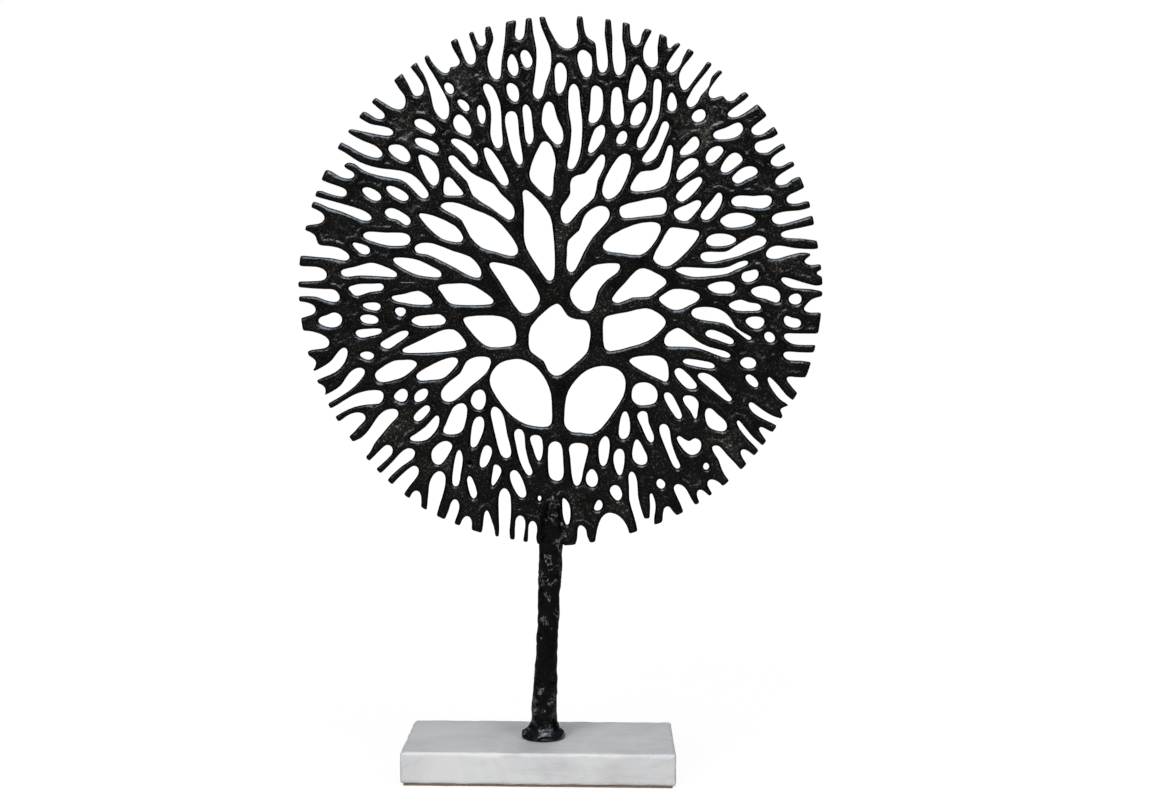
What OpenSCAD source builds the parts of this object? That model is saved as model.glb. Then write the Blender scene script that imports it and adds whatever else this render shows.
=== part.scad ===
/* Tabletop tree of life: a cast openwork crown held in the slotted head of a hammered post,
   which is bolted through a polished marble block with a felt underside.
   Units are millimetres. +X is to the right, +Y to the back, +Z up,
   and Z = 0 is the underside of the felt. */

/* [Base] */
// Length of the marble block along X
base_length = 170; // [150:1:190]
// Depth of the marble block along Y
base_depth = 76; // [60:1:100]
// Thickness of the marble block
base_height = 20; // [18:1:30]
// Thickness of the felt under the block
felt_thickness = 1.5; // [1:0.5:3]
// Distance from the edge of the block to the edge of the felt
felt_inset = 2; // [1:0.5:6]
// Radius of the block's four upright corners
base_corner = 1.5; // [0.5:0.5:4]

/* [Post] */
// Diameter of the post halfway up
post_waist = 13.4; // [13:0.2:15]
// Diameter of the post at the head that holds the crown
post_head = 15; // [15:0.2:17]
// Diameter of the flared foot
foot_diameter = 28; // [26:1:34]
// Thickness of the foot's rim
foot_rim = 3.5; // [2.5:0.5:5]
// Lean of the post to the right, in degrees
lean = 1.9; // [0:0.1:3]
// Distance of the post's foot to the right of the block's middle
post_offset = 2; // [-10:0.5:10]

/* [Crown] */
// Thickness of the crown
crown_thickness = 6; // [5:0.5:7]
// Height of the crown's centre above the block
crown_centre = 289; // [280:1:295]
// Straight pieces that each curve of an opening's edge is made of
curve_steps = 2; // [1:1:2]

/* [Fixings] */
// Diameter of the threaded stud
stud_diameter = 8; // [6:1:8]
// Width of the nut across its flats
nut_flats = 13; // [12:0.5:14]
// Depth of the recess under the block for the nut and washers
recess_depth = 11; // [11:0.5:13]

/* [Hidden] */
// Gap between parts that slide together on assembly, all round
fit_gap = 0.1;
// How far a cutting shape runs past the face that it cuts
cut_past = 1;
base_top = felt_thickness + base_height;
recess_top = felt_thickness + recess_depth;
recess_diameter = 26;
passage_diameter = stud_diameter + 1;
washer_diameter = 16;
washer_thickness = 1.6;
spring_diameter = 14.8;
spring_thickness = 2;
spring_split = 1.4;
nut_height = 6.5;
stud_in_post = 22;
stud_past_nut = 0.4;
socket_spare = 3;
spring_turn = 20;
blend_height = 14;
// How far a profile starts below the height where it is needed, inside its neighbour
post_overlap = 8;
head_overlap = 6;
slot_floor = crown_centre - 167;
head_start = slot_floor + 3;
head_tip = head_start + 31;
bead_start = head_start + 2;
bead_spare = 2;
// Cones that trim the nut's corners, as shares of its width across flats
nut_trim_narrow = 1.05;
nut_trim_wide = 1.32;
bead_width = 1.1;
bead_height = 1.4;
crown_shift = post_offset + crown_centre * tan(lean);

// Radius of the crown's rim every ten degrees, anticlockwise from +X
RIM = [
    163.7, 162, 163, 163, 165, 164.5, 165, 166, 165.6,
    165, 165, 165, 164, 163.2, 163, 163, 163.3, 164,
    165.2, 165.3, 166, 166, 165.5, 166.6, 167.5, 166.5, 165.4,
    166.5, 165, 164.2, 164.2, 164, 163.4, 163, 165, 164.4,
];

// Closed openings, as x, y pairs about the crown's centre, each drawn as a smooth curve through its points
HEART = [
    // the heart-shaped middle
    [-2.5,-13.4, 0.5,-15.5, 4.5,-21.3, 10,-23.3, 16,-24, 18.7,-30.5, 18,-38, 16.5,-44, 9,-51.3, 0.5,-58,
        -4.3,-58.4, -8,-55, -10.5,-49.5, -18.5,-43.8, -20,-38.5, -18.7,-28, -9,-17.5],
    // the two lobes under it
    [3,-90, 2.7,-84, 3.2,-76, 5,-68.5, 10,-61, 17,-55, 26,-52.4, 34,-53.6, 39,-57, 41,-63, 39.5,-71.5,
        34,-80.5, 26,-91.5, 20,-95.2, 13,-94.4, 7,-94],
    [-5.4,-88, -5.3,-80, -6,-70, -9,-62, -13,-56, -18,-51.5, -25,-48.5, -31,-48.8, -38,-51, -43,-56.5,
        -44.5,-62, -43,-67.5, -37,-77, -30,-84.5, -22,-89.2, -14,-90.8, -7.5,-90.7],
];

LEFT_MIDDLE = [
    [-61.5,-23.5, -58,-22, -48,-21.2, -38,-21.7, -31,-25, -28.3,-31, -28.5,-38.5, -32,-40.2, -44,-41,
        -50,-38, -57.5,-30],
    [-45,11.5, -42,12.2, -33,10.5, -24,7.2, -18,0, -13.3,-9, -14,-13.5, -17.5,-18.2, -22,-19.7, -26,-18.5,
        -32,-10, -38.5,0.5, -44,8.5],
    [-24.3,56, -22.3,57.6, -18,54.5, -12.5,49, -7,41, -5.2,32, -4,17, -4.3,4, -6,1, -9,1.8, -15,10.5,
        -21.5,21, -23.3,29, -23.2,45],
    [-12,87.5, -8,86.7, -5,81, -3.7,74, -5,66, -5.3,57, -7,53.3, -10,54.5, -18.5,62.5, -20,68, -17,78,
    -14.3,83.5],
    [-35.3,102, -34,105.3, -31,106.3, -28.7,105, -27.4,101, -26.7,92, -25,82, -24.3,75, -26,72.7, -29,75.7,
        -31.6,82, -33.7,91, -35.1,98],
    [-48.8,83, -46.5,83.6, -42.5,80.3, -36.5,71, -33,63, -33.6,60.5, -36,60, -39,62.5, -46,73.5],
    [-71,77.5, -68.5,78.7, -66,77.5, -57,68.3, -49,64, -42.5,61, -38,55, -31,48.3, -29.3,44, -30,40,
    -33,38.8,
        -44,46.3, -55.5,54, -59,62.5, -68,71.5],
    [-69.5,88.3, -66,89, -60,86.5, -53.5,81, -52.2,76, -53.5,73.3, -56,73.6, -60.5,79.5, -67.5,85.3],
    [-72.6,64.3, -70,65.2, -66,61, -61,54.7, -63,53.8, -68,53.7, -73,54.3, -73.8,58.5],
    [-89.7,78.3, -87.5,79, -83.5,77.5, -78,72, -76.5,66, -77.5,61, -80,59.7, -84,63.5, -87.7,71],
    [-92,88.3, -90.5,89.4, -86,89, -81,87.4, -77.3,84.3, -76.7,81.3, -78.5,80.1, -83,81.7, -89.7,84.7],
    [-76,47.2, -72,49.5, -64,48.7, -55,45.1, -42,39.7, -33,30.5, -27.7,22.5, -27.2,18, -31,16.2, -41,18.8,
        -50,21.5, -57,28.3, -62.5,38.7, -69.5,43],
    [-89.7,42.2, -88,42.6, -80,41, -66.5,34.7, -61.5,28, -62.5,25, -68,25, -75,27, -81.7,32.3, -86.5,37.5],
    [-92,21, -90.3,23, -86.5,24.1, -80,23.6, -68,19.1, -57.3,15.6, -52.3,10.8, -50,6, -51,2.6, -57,3.6,
    -66,8.5,
        -76,13.5, -84,17, -90.3,17.9],
    [-105.7,14, -104,14.8, -96,14.5, -89,13, -80,8.7, -75.8,6.3, -75,3.7, -76.3,2.7, -82,2.9, -90,4.1,
    -97,7, -103.7,11],
    [-77.6,-3.5, -75,-2, -68,-1.4, -58,-1.4, -50,-5.4, -43.4,-10.2, -42.2,-12.4, -43.9,-13.9, -54,-14.6,
    -66,-14.3,
        -70.2,-13.1, -72.6,-10.4, -75.6,-6],
    [-107.2,-10, -105,-9.1, -98,-7.9, -90,-5.9, -85.2,-8, -81.9,-10.7, -80.5,-13, -82.2,-14.4, -92,-14.4,
    -98,-13.4,
        -103,-12.6],
    [-94.1,-25, -92,-22.6, -87,-21.4, -80,-20.8, -76,-20.6, -72.3,-23.7, -73,-26.2, -76,-27.3, -82,-27.6,
    -88,-28,
        -91.8,-26.5],
    [-99.8,-43.3, -98,-41.7, -88,-37, -80,-33, -74,-30.5, -67.2,-30.2, -62.4,-34.2, -59.2,-39.5,
    -60.5,-41.6, -68,-43.5,
        -80,-44.5, -92,-44.9, -98.7,-44.6],
    [-91,-60, -89.7,-57.6, -84,-54, -75,-49.5, -68,-47.6, -65,-48.4, -64.5,-50.5, -67.5,-54.8, -72.3,-59.6,
        -76.2,-61.3, -82,-61.8, -88.3,-62.3],
    [-59.5,-50.5, -55,-47.8, -50,-47, -45,-47.7, -43.8,-50.5, -47,-57.5, -56.5,-65.5, -65,-73.5, -70,-75.7,
        -74.5,-74, -75,-69, -70,-63, -63,-57.5],
    [-55,-70.5, -53,-68.5, -49.7,-67.8, -47.5,-70, -47,-75, -48.7,-79.5, -50.7,-80.6, -53.8,-79.5,
    -56.5,-75.5],
];

RIGHT_MIDDLE = [
    [37,11.2, 33,12, 26,11.6, 19.5,10, 12,2.5, 6.2,-5, 6,-9, 8.3,-13.8, 13.3,-17.6, 18.7,-17.7, 21.3,-13.5,
        23.2,-5.5, 29,1.8, 35.5,6.5],
    [27.7,-41, 26.7,-32, 27,-23.5, 29.5,-21, 42,-18.5, 53.5,-16, 61,-19, 66,-24, 64,-28.5, 55,-36.3,
    43,-40.3,
        31.5,-43],
    [3.6,9, 3.8,17, 4.5,26, 11.5,32.5, 13.5,39, 16.5,43.8, 23,47.5, 28,47, 30.3,43, 28.5,38, 20,28.5,
    14,18.5,
        9,8, 6,6.2],
    [0,39.5, 0,46.5, 3,50.8, 5.7,55.5, 5.5,60, 6.5,64.5, 10,66.7, 15,68, 21.5,76, 25,79.8, 27,78.5, 26.5,72,
        22.5,63.5, 20.5,53, 12,45.5, 5.5,37.7, 2.5,36.5],
    [3.7,72, 4.5,78, 5.3,84, 6.2,94, 5.6,100, 4.2,108, 4.4,119, 6.2,123, 8.4,123, 10.6,119, 11.4,110,
    12.6,101,
        12.6,91, 11.5,80, 8.7,72.5, 6,70.3],
    [25.7,55.5, 26,60, 28.5,67, 35,77.5, 39.5,80.3, 43,78.5, 42.5,70.5, 37,57.5, 32.5,53, 28.5,52],
    [43,58, 47.5,56.8, 57,57.8, 64.5,60.7, 67.3,66, 68.8,76, 69.5,83, 68,86, 66.3,84.7, 64.3,78.5, 61.3,72,
        56,69.7, 49.5,69, 45,63.3],
    [37,47.3, 37,42, 39.5,40.2, 50,41.2, 60,42.3, 64.5,43.2, 66,48, 64,52.8, 58,52.8, 48,50.6],
    [26,22.5, 28.5,19.7, 37,18.6, 49.5,17.3, 56,22, 62,32, 61.5,36.5, 56,37.8, 45.5,36, 31.5,29.3],
    [57.6,15, 62.5,10.8, 68.5,10.8, 76.5,17.5, 82,23.5, 86,29.5, 86,32.3, 78,33.6, 70,34.6, 67.5,33.7,
    62.5,25],
    [31.8,-10.5, 36,-12.8, 45,-9.2, 55.7,-8.6, 61.3,-4.3, 66,-0.5, 65.2,2.5, 58.7,6.3, 52,9, 47.3,7.5,
    40.5,0],
    [61.3,-10.3, 64.5,-7.3, 70.3,-4, 80,-4.4, 85.5,-6.3, 87.2,-8.6, 85,-11.7, 80.7,-13.8, 75.8,-16.3,
    71,-16.8,
        66.5,-15],
    [65,-36.5, 66.8,-32.2, 70,-29.7, 74,-28.2, 80,-31.9, 86,-36.6, 93,-40, 103,-42.6, 106.5,-44.6,
    106.5,-46.5,
        102,-46.3, 92,-42.5, 84,-40.2, 73,-39.8, 66.7,-39.5],
    [43,-49.2, 46,-46.9, 54,-45.8, 61,-46, 66.5,-49.3, 68,-57, 67,-62, 62.5,-60.5, 50,-54.5],
    [45,-69.5, 46,-65.5, 49,-63, 55,-62.8, 59.5,-65.7, 61.2,-70, 60,-75, 55,-76.7, 49,-76.7, 45.5,-73.7],
    [65.2,-70, 67,-68.6, 70,-70, 73.5,-76, 76.7,-83.5, 75.5,-85.6, 73,-84.5, 66.5,-74.5],
    [71.6,-55.2, 74.2,-53.3, 77.7,-55, 85.3,-63, 85.7,-65.7, 82.7,-66.4, 79.3,-65.8, 73.5,-59.8],
    [76.5,-48.7, 79.5,-47.5, 93,-49.5, 96.7,-51.2, 96.8,-53.1, 92,-53.3, 82,-51.5, 77.7,-50.2],
    [77,-72.2, 79.3,-70.6, 84,-71.5, 87,-75.2, 86.5,-80, 85.9,-85, 84.7,-85.5, 82.3,-80.7, 79,-76.7],
    [16.5,81.5, 17.4,86, 20.4,94.7, 23.2,97.3, 25.7,98, 27,95.8, 26.6,91, 24.6,87, 21.6,83, 18.5,80.4],
    [34,88.2, 35.6,92.5, 38.3,94.4, 40.5,93.2, 40.7,90, 39.4,87, 37,86, 34.8,86.5],
    [50,76.2, 53,74.7, 58.6,77.5, 61.5,83, 64.4,90.2, 66.9,97, 66.1,99.8, 64,100.4, 62.4,98.6, 61,94.7,
    58.2,88,
        53.7,82],
    [57.5,125, 59.1,126.6, 61.1,125.7, 62.1,122, 61.4,113, 59.9,102.2, 55,93.4, 53.4,87.7, 50.7,84.4,
    47.7,83.9,
        46.9,86.2, 48,90.7, 51.6,96.1, 54.6,101.7, 56.6,108, 56.9,118],
    [73.7,79.8, 74.7,83.2, 78,86.6, 81.4,90.4, 83.8,91, 85.7,88.2, 85.4,84.8, 82.1,81.5, 78.3,79.7],
    [71.8,65.5, 72.2,69.3, 74.5,73.5, 79.3,77.3, 84.1,77.2, 85.6,74.8, 84.8,72.2, 80.5,68.5, 75.7,65.1,
    73.2,63.9],
    [71.5,54, 73,51.4, 76,50.7, 81.6,55, 86,60.3, 88,63.9, 86.8,66, 84.2,65.4, 78.5,62, 73.7,57.2],
    [70.6,45, 71.1,41.6, 73.4,39.4, 78.7,38.7, 83.5,43.4, 87.3,48.6, 87,51, 84.4,51.5, 78.2,48.5],
    [71.3,8, 73,9, 76,9.8, 85,9.5, 98,9.1, 105.2,10.2, 111,13, 116,14.1, 117.4,12.9, 116.2,11.4, 109.8,8.7,
        104.2,6, 95.8,4.7, 84,3.8, 76.5,5.4],
    [81.8,-19, 83.4,-16.2, 90,-15, 97,-15.7, 102.7,-18.2, 106.6,-22.3, 109.6,-27.3, 114.7,-31,
    119.8,-33.8, 119.7,-35.3,
        117,-35.1, 109.8,-29.5, 102.2,-25, 92,-23.5, 84.3,-21.8],
    [37,-94, 38,-86, 39.7,-81.3, 41,-80.7, 42.5,-82.3, 43.9,-88, 43.7,-94.5, 42,-97.5, 39.5,-98.5,
    37.6,-97],
    [48.5,-84, 49.6,-81.6, 52,-80.6, 54.7,-81.7, 55.6,-88, 58.8,-95.5, 59,-99, 57.7,-100.7, 55,-98.3,
    51.5,-90.5],
];

TOP_SIDE = [
    [-73.5,122.3, -71.5,123.8, -68.5,122.3, -67.3,119.5, -68,117, -70,116.7, -72.3,118.7],
    [-65.4,112.5, -64,113.5, -60.5,112.3, -58,109.5, -57.7,107, -59.5,105.8, -62.7,108],
    [-52.9,108, -51.3,110.3, -48.7,108.3, -47.5,103.5, -48.5,98.7, -50,98, -52.2,102],
    [-67.7,98, -67.3,101.5, -65,104, -62,103.2, -58.3,99, -56.4,94.5, -57.2,91.3, -60,91.2, -65,93.5],
    [-49.3,121, -47.5,123.3, -43.3,121, -40,114.7, -38.3,109, -37.7,100, -37.5,95, -36.8,86, -38.3,83.5,
        -41,83.5, -43.5,88, -44.5,93, -44,101, -44.5,109, -46.7,114.5],
    [-24.5,107, -23.8,110, -22,110.5, -19.3,106.5, -18.4,98, -17.5,91, -18.8,86.3, -20.5,85.6, -22.5,89,
    -23.5,98],
    [-34.6,121, -33,123.8, -28.5,121.8, -26.8,117.5, -27.2,112.8, -29.5,111.9, -33,115],
    [-34,137, -31.7,141.8, -29.2,139.3, -27.2,133.5, -27.8,128.8, -30,127.8, -33.3,131.5],
    [-26,141, -24.3,144, -21.5,143.3, -18.7,138.5, -18.8,135, -21,132.8, -24,134.3],
    [-11.5,108, -9.5,112, -7,112, -5,109.5, -3,102, 0,96, 1,91, 0,86.7, -2.5,85.6, -5,87, -9.5,92.5,
    -12.2,98,
        -12.2,103.5],
    [-4.5,132, -3,135.7, -0.5,136.3, 1.7,134, 2.9,130, 2.6,124.5, 1,119.5, -0.7,117.2, -2.8,117.4, -4,121,
    -4.4,127],
    [9.8,141.5, 12,144.2, 15.5,143.2, 18.3,139.8, 18.4,130, 16.7,127.5, 14,127.6, 11.7,131.3, 9.8,137.5],
    [18.5,120.5, 21,122.4, 24.7,119.8, 25.6,113, 25.2,106.5, 22.5,100.5, 19,98.9, 16.7,100.3, 17.6,107,
    18,114],
    [31.5,119, 33.8,121.5, 36.5,120, 37.8,112, 38.7,106, 38.2,101, 36.3,98.3, 33,98.2, 30.8,101, 30.7,112],
    [44.3,131.5, 46.5,135.6, 49,133.3, 52.2,127, 52.2,121.5, 50,117, 46,114.2, 42.7,113.2, 41.3,114.8,
    41.6,119,
        42.4,125],
    [42.7,100, 43.5,104.5, 46,109.5, 49.8,112.2, 52,111.2, 52.3,107, 50.7,102, 48.5,98.5, 45.7,97.7,
    43.3,98.2],
    [66.2,114.5, 68.3,118.6, 70.5,115.5, 71.7,110.5, 70.6,107.3, 68.5,106.4, 66.3,107.6, 65.7,110.8],
];

LEFT_SIDE = [
    [-108.5,83.5, -106.5,85, -101,85, -97,82.3, -94.7,78.5, -95,75.3, -97.5,74.3, -103,76.8, -107.3,80.5],
    [-92.3,99.5, -90,101.2, -86,100.7, -82,98.2, -79,95.3, -79.3,92.7, -81.5,92, -86,94, -90.5,96.3],
    [-125,57, -123.5,58.5, -120,58.3, -115,55.7, -112.8,53, -113.5,50.8, -117,50.3, -122,53],
    [-110,58.3, -108.3,59.6, -104,58.7, -98,55.5, -95.5,52.5, -96.7,50.5, -100,50.4, -106.5,54],
    [-110.8,43, -109,45.3, -105,45.5, -99,42.5, -95,39.5, -94.5,36.5, -96.5,35, -99,36, -103,38.8,
    -107.5,39.5],
    [-124.5,28.8, -122,30.7, -117,30.8, -110,30.3, -100,30.3, -95.5,28.7, -94.5,25.5, -96.5,23, -102,22.2,
        -109,22.5, -117,24.5, -122.5,26.5],
    [-131.7,24, -128.5,23.9, -122,22, -120,20, -120.7,17.2, -124,16.8, -127,18.3],
    [-138.5,6, -136.5,7.3, -129,9, -121,11.3, -117,11.2, -109,8.4, -103.5,5.5, -103,3.2, -105,2.6, -111,3,
        -121,3.5, -128,3.5, -133,2.8, -137,3.3],
    [-134,-4.3, -131,-2.9, -126,-1.8, -118,-1.7, -113,-1.5, -111.2,-3.3, -112.5,-5.7, -120,-6.7, -126.5,-9,
        -130,-8.8, -132.5,-6],
    [-125.3,-14.9, -122,-13.7, -116,-13.5, -113.3,-15, -113.8,-17.5, -116,-18.4, -121,-17.6],
    [-104.5,-18.5, -103,-16.6, -98.5,-16.8, -97.3,-19, -99.5,-21.8, -102,-21.7],
    [-126.5,-23, -124,-21.2, -118,-21.5, -114.7,-23.7, -115.3,-26, -119,-26.7, -124,-26],
    [-129.5,-32.5, -127.5,-30.7, -121,-30, -113.7,-29.8, -112.3,-31, -114,-33, -120,-34.5, -126,-35.5],
    [-152.8,-25, -151,-22.7, -147,-21.5, -144,-20, -140.5,-20.2, -137.7,-23, -138.5,-27, -142,-29,
    -147,-28.8,
        -151.5,-27],
    [-114,-39.5, -109,-36, -102,-32, -98,-31, -95.7,-31.5, -96.5,-34.3, -103,-39, -107.5,-42.2, -110.5,-42],
    [-126.8,-46.3, -124,-44.5, -120,-44.5, -117.2,-46.7, -119.5,-49.2, -123,-49],
    [-117,-58.5, -114,-55.3, -105.5,-50.2, -99,-49.5, -93.5,-49.5, -90.3,-51.5, -92,-54.3, -98.5,-59.7,
        -104,-61.7, -112,-63.5, -115.5,-62.3],
    [-105.2,-73, -103,-69.5, -99.5,-67.5, -97,-68.5, -96.2,-71.5, -98,-75.3, -101.5,-75.6],
    [-92.2,-74, -91.3,-70.5, -88,-68, -84.5,-67.5, -83.3,-70, -85.5,-74, -88,-75.3, -91,-75.9],
    [-92.7,-86, -91,-83, -86.5,-79, -84,-77.8, -82.2,-79, -82.5,-81.5, -84.5,-84, -88,-87.5, -91,-88],
    [-95.2,-98.8, -92,-96.7, -85,-91.5, -80,-86, -77.5,-84, -76.3,-86, -77,-91, -80,-95.7, -84.5,-99.7,
    -90,-100.7,
        -94,-100.2],
];

BOTTOM_SIDE = [
    [-74,-94.5, -72,-89.5, -68,-80, -65,-77.3, -61,-76.5, -58.7,-80, -60,-89, -62,-94, -66,-96, -71.5,-96],
    [-56.5,-103, -56,-94, -54.7,-88, -52.5,-85.2, -49.5,-85, -48,-88, -48.5,-93.5, -51,-100, -53,-103.5,
    -55.3,-104.5],
    [-43.8,-82, -42,-78.3, -38,-80.5, -35.3,-86, -33.5,-96, -31,-105.5, -31.5,-110, -34.5,-111,
    -37.5,-108.5,
        -40.5,-98, -43,-87],
    [-29,-95, -27,-92.5, -24,-93.2, -22.5,-97, -22,-104, -19.7,-113.5, -17.3,-119.7, -18.8,-122,
    -21.3,-120.7,
        -25.5,-112, -27.8,-102],
    [-19,-98.5, -17.5,-96.5, -13.5,-96.5, -11.4,-99, -11,-107.5, -13,-113, -15,-110.7, -17,-104.5],
    [-7.3,-104, -5.5,-101, -2.5,-100.2, 0.3,-101.8, 1.5,-106, 2,-114, 2.3,-120.5, 0.7,-124.6, -3,-125,
        -6.3,-122.8, -7.3,-117],
    [-41.5,-115, -38.5,-116, -37,-118.7, -38,-122, -41,-127.3, -42.8,-129, -43.2,-125, -42.2,-118.5],
    [-31.5,-121, -29.7,-118.5, -27,-119.3, -24,-124, -21.3,-132.3, -22,-135.7, -25,-135.7, -28,-132,
    -30.8,-126],
    [-14,-136, -12.9,-134.2, -11.5,-135.8, -12.8,-138.7],
    [-50.7,-115, -50,-109.5, -48.3,-104.5, -46.3,-102.8, -43.7,-104.3, -43,-107.5, -45,-113.3, -47,-116.3,
    -49.7,-117.2],
    [-63.5,-105.7, -62,-108.5, -61.5,-113, -62.8,-121, -64,-128, -66.5,-129.3, -68,-127, -67.6,-120,
    -66.5,-112.5,
        -65,-107.2],
    [-58.7,-125, -57.5,-122.2, -55.5,-124, -52.3,-133.5, -54.3,-137, -56.5,-134.7],
    [-57.7,-113.6, -57,-112.7, -56.3,-114, -56.8,-115.3],
    [-81.3,-110, -80.5,-106, -76,-101.7, -71.5,-100.4, -68,-103, -69.5,-107, -73.5,-113.3, -76.5,-115.6,
    -80,-114],
    [5.7,-104.5, 7.3,-101.8, 11,-101.1, 16,-101.9, 17.8,-104.2, 16.7,-110, 14.5,-119, 13.3,-125.5,
    11,-128.4,
        8.9,-126.8, 7.4,-120, 6.5,-110],
    [17.2,-120.5, 20,-117.3, 22.7,-119.5, 24,-123.7, 23.2,-127.3, 21,-128.9, 18,-127.8, 16.5,-124.8],
    [25.5,-99.7, 28.6,-96.3, 31,-99.5, 31,-106, 29.5,-113.5, 27.3,-115.8, 25.2,-113.5, 24.4,-105],
    [34.2,-107.5, 37,-104.4, 39.8,-105.7, 40.7,-109.5, 40,-117, 38.3,-121.7, 36.3,-120.3, 34,-113.5],
    [46.5,-101.7, 48,-98.2, 50,-99.7, 52.8,-104.8, 55,-109.5, 54.3,-113.9, 50,-114.5, 46.7,-112, 45.6,-108],
    [31.8,-132, 32.1,-129.2, 34.5,-127.5, 37.5,-128.7, 39.4,-133.5, 38.3,-136.5, 36.5,-137.5, 34,-135.5],
    [22.7,-139.5, 24.7,-136.7, 26.8,-138.8, 26.9,-141.5, 25,-143.7, 21.7,-143.3],
    [1.7,-136.5, 2,-135.4, 3.7,-136.9, 5.8,-139.7, 6.7,-145, 6.2,-151, 4.8,-153.7, 3,-150.5, 1.9,-145],
    [62.5,-91, 64,-88.8, 67,-89.2, 69,-93, 70,-100, 73.5,-110, 76,-115.3, 74.3,-117, 71.5,-115, 68,-107,
    63.5,-96],
    [73.4,-97.3, 75,-96.1, 78,-98, 81.5,-99.6, 84.5,-97.5, 88,-98.9, 89,-102, 87.5,-106.3, 84,-108.1,
    80.7,-107.3,
        76.5,-103],
    [61,-125.5, 62.8,-123.2, 66.2,-125.5, 66.3,-128.2, 64.3,-129.8, 61.7,-128.2],
    [90.2,-115, 92,-112.6, 94.1,-114.7, 93.5,-117.1, 91.2,-117.3],
    [91.5,-80, 93.3,-78.4, 96,-79.5, 99,-82.5, 103,-85.7, 105,-89.2, 104.2,-92.4, 101,-93, 96,-91.7,
    92.9,-89.3,
        91.3,-84],
];

RIGHT_SIDE = [
    [94.3,92, 96,94.3, 102,96.3, 107,98.8, 110.5,99.8, 112.2,98.3, 113,95.5, 110.5,92, 106,90, 98,89.3,
    95.3,90.3],
    [81,103.5, 83,106.5, 87,108, 89.3,106.3, 89.3,103, 87,100.5, 83.7,99.9, 81.3,101.5],
    [90,77, 90.3,79.7, 92.5,83, 96,84.9, 99.3,85, 101,82.5, 98.3,78.5, 94.5,75.1, 91.3,74.8],
    [99.2,70.2, 100.5,74, 103.5,78.3, 107,81, 110.3,80.6, 113,77.3, 112,75.2, 106,70.5, 103.3,69, 100.6,69],
    [106.3,64.9, 108.5,68, 112,71, 116,72.6, 120,72.4, 122.6,69.8, 121,67.3, 115,64.5, 112,62.6, 109,62.2],
    [87,41.7, 88.5,39.7, 92,39.6, 95,42, 99,47.7, 100.4,52, 100,55.7, 97.7,56.2, 94.5,52, 90,46.8],
    [106,50.7, 107.7,53.4, 112,54.6, 120,54.2, 128.5,54.8, 131.5,52.8, 130.3,49, 126,46.8, 120,47, 114,48,
    108.5,48],
    [99.2,39, 101,41, 105,43.2, 111,43.8, 117,42.7, 121.4,40.2, 120.3,37.7, 116,36, 108.5,34.7, 103.5,35,
    100.5,37],
    [90.6,26, 92,28.8, 96,30.6, 102,30.7, 107,29.4, 109.8,27, 107,24.7, 103,23.4, 96,23, 92.4,23.7],
    [87.1,16.5, 88.6,18.8, 94,19.5, 103,19.5, 109,23, 117,27.9, 121.5,29.7, 126.3,29, 128.5,26.5, 126,23.2,
        118,20, 111,17, 103,15, 95,13.3, 89.2,13.8],
    [113,4, 114,6.6, 118,7.7, 122.3,8.6, 123.8,6, 122.5,3, 119,1, 116,0.8, 113.8,1.9],
    [91.6,-2.3, 95,-0.3, 100,0.9, 105.3,0.8, 108.4,-1, 109,-4, 107,-6, 102,-6.5, 96,-5.8],
    [118.8,-5, 121,-2.9, 126,-1.6, 131,-2.1, 135.3,-4, 137.4,-7.5, 136.8,-11.2, 134,-11.8, 128,-9.5,
    122.5,-8.3],
    [142.6,-9.6, 144.2,-7.3, 148.6,-6.3, 150.8,-9, 150,-12, 147,-13, 144,-12.2],
    [105,-14, 107.5,-11.8, 113,-10.3, 118,-12.1, 123.5,-12.8, 125.7,-14.8, 124.5,-16.8, 118,-17.2, 110,-17],
    [115.7,-23.7, 118,-21.4, 123.5,-20.9, 127.4,-22.3, 127.2,-26, 123.7,-28.4, 119.5,-27.5],
    [139.8,-22.3, 141.4,-20.1, 145,-21.5, 149.4,-22.4, 150.8,-25.2, 149,-27.2, 145,-27.4, 141,-25.7],
    [129,-30.5, 132,-30.7, 134.4,-33.3, 134,-36, 131.5,-36.9, 129,-35.7, 127.6,-32.7],
    [90.6,-31.5, 92.5,-29.7, 96,-29.4, 104,-32.6, 108.3,-35.3, 108.7,-37.6, 106,-38.1, 98,-35.3,
    92.5,-33.7],
    [112.6,-49.5, 115.5,-46.6, 120,-46.7, 122.8,-49, 122.3,-52.1, 119.5,-53.3, 115.5,-52.8],
    [116.2,-58.6, 117.8,-57, 121,-58.3, 124.3,-62.2, 123.8,-65, 121,-64.6, 117.7,-61.8],
    [86.2,-57.3, 90,-56.3, 95,-58.2, 99.5,-62, 105,-69, 108.2,-72.8, 106,-74.3, 101,-71.2, 92,-64,
    87.2,-59.8],
];

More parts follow.
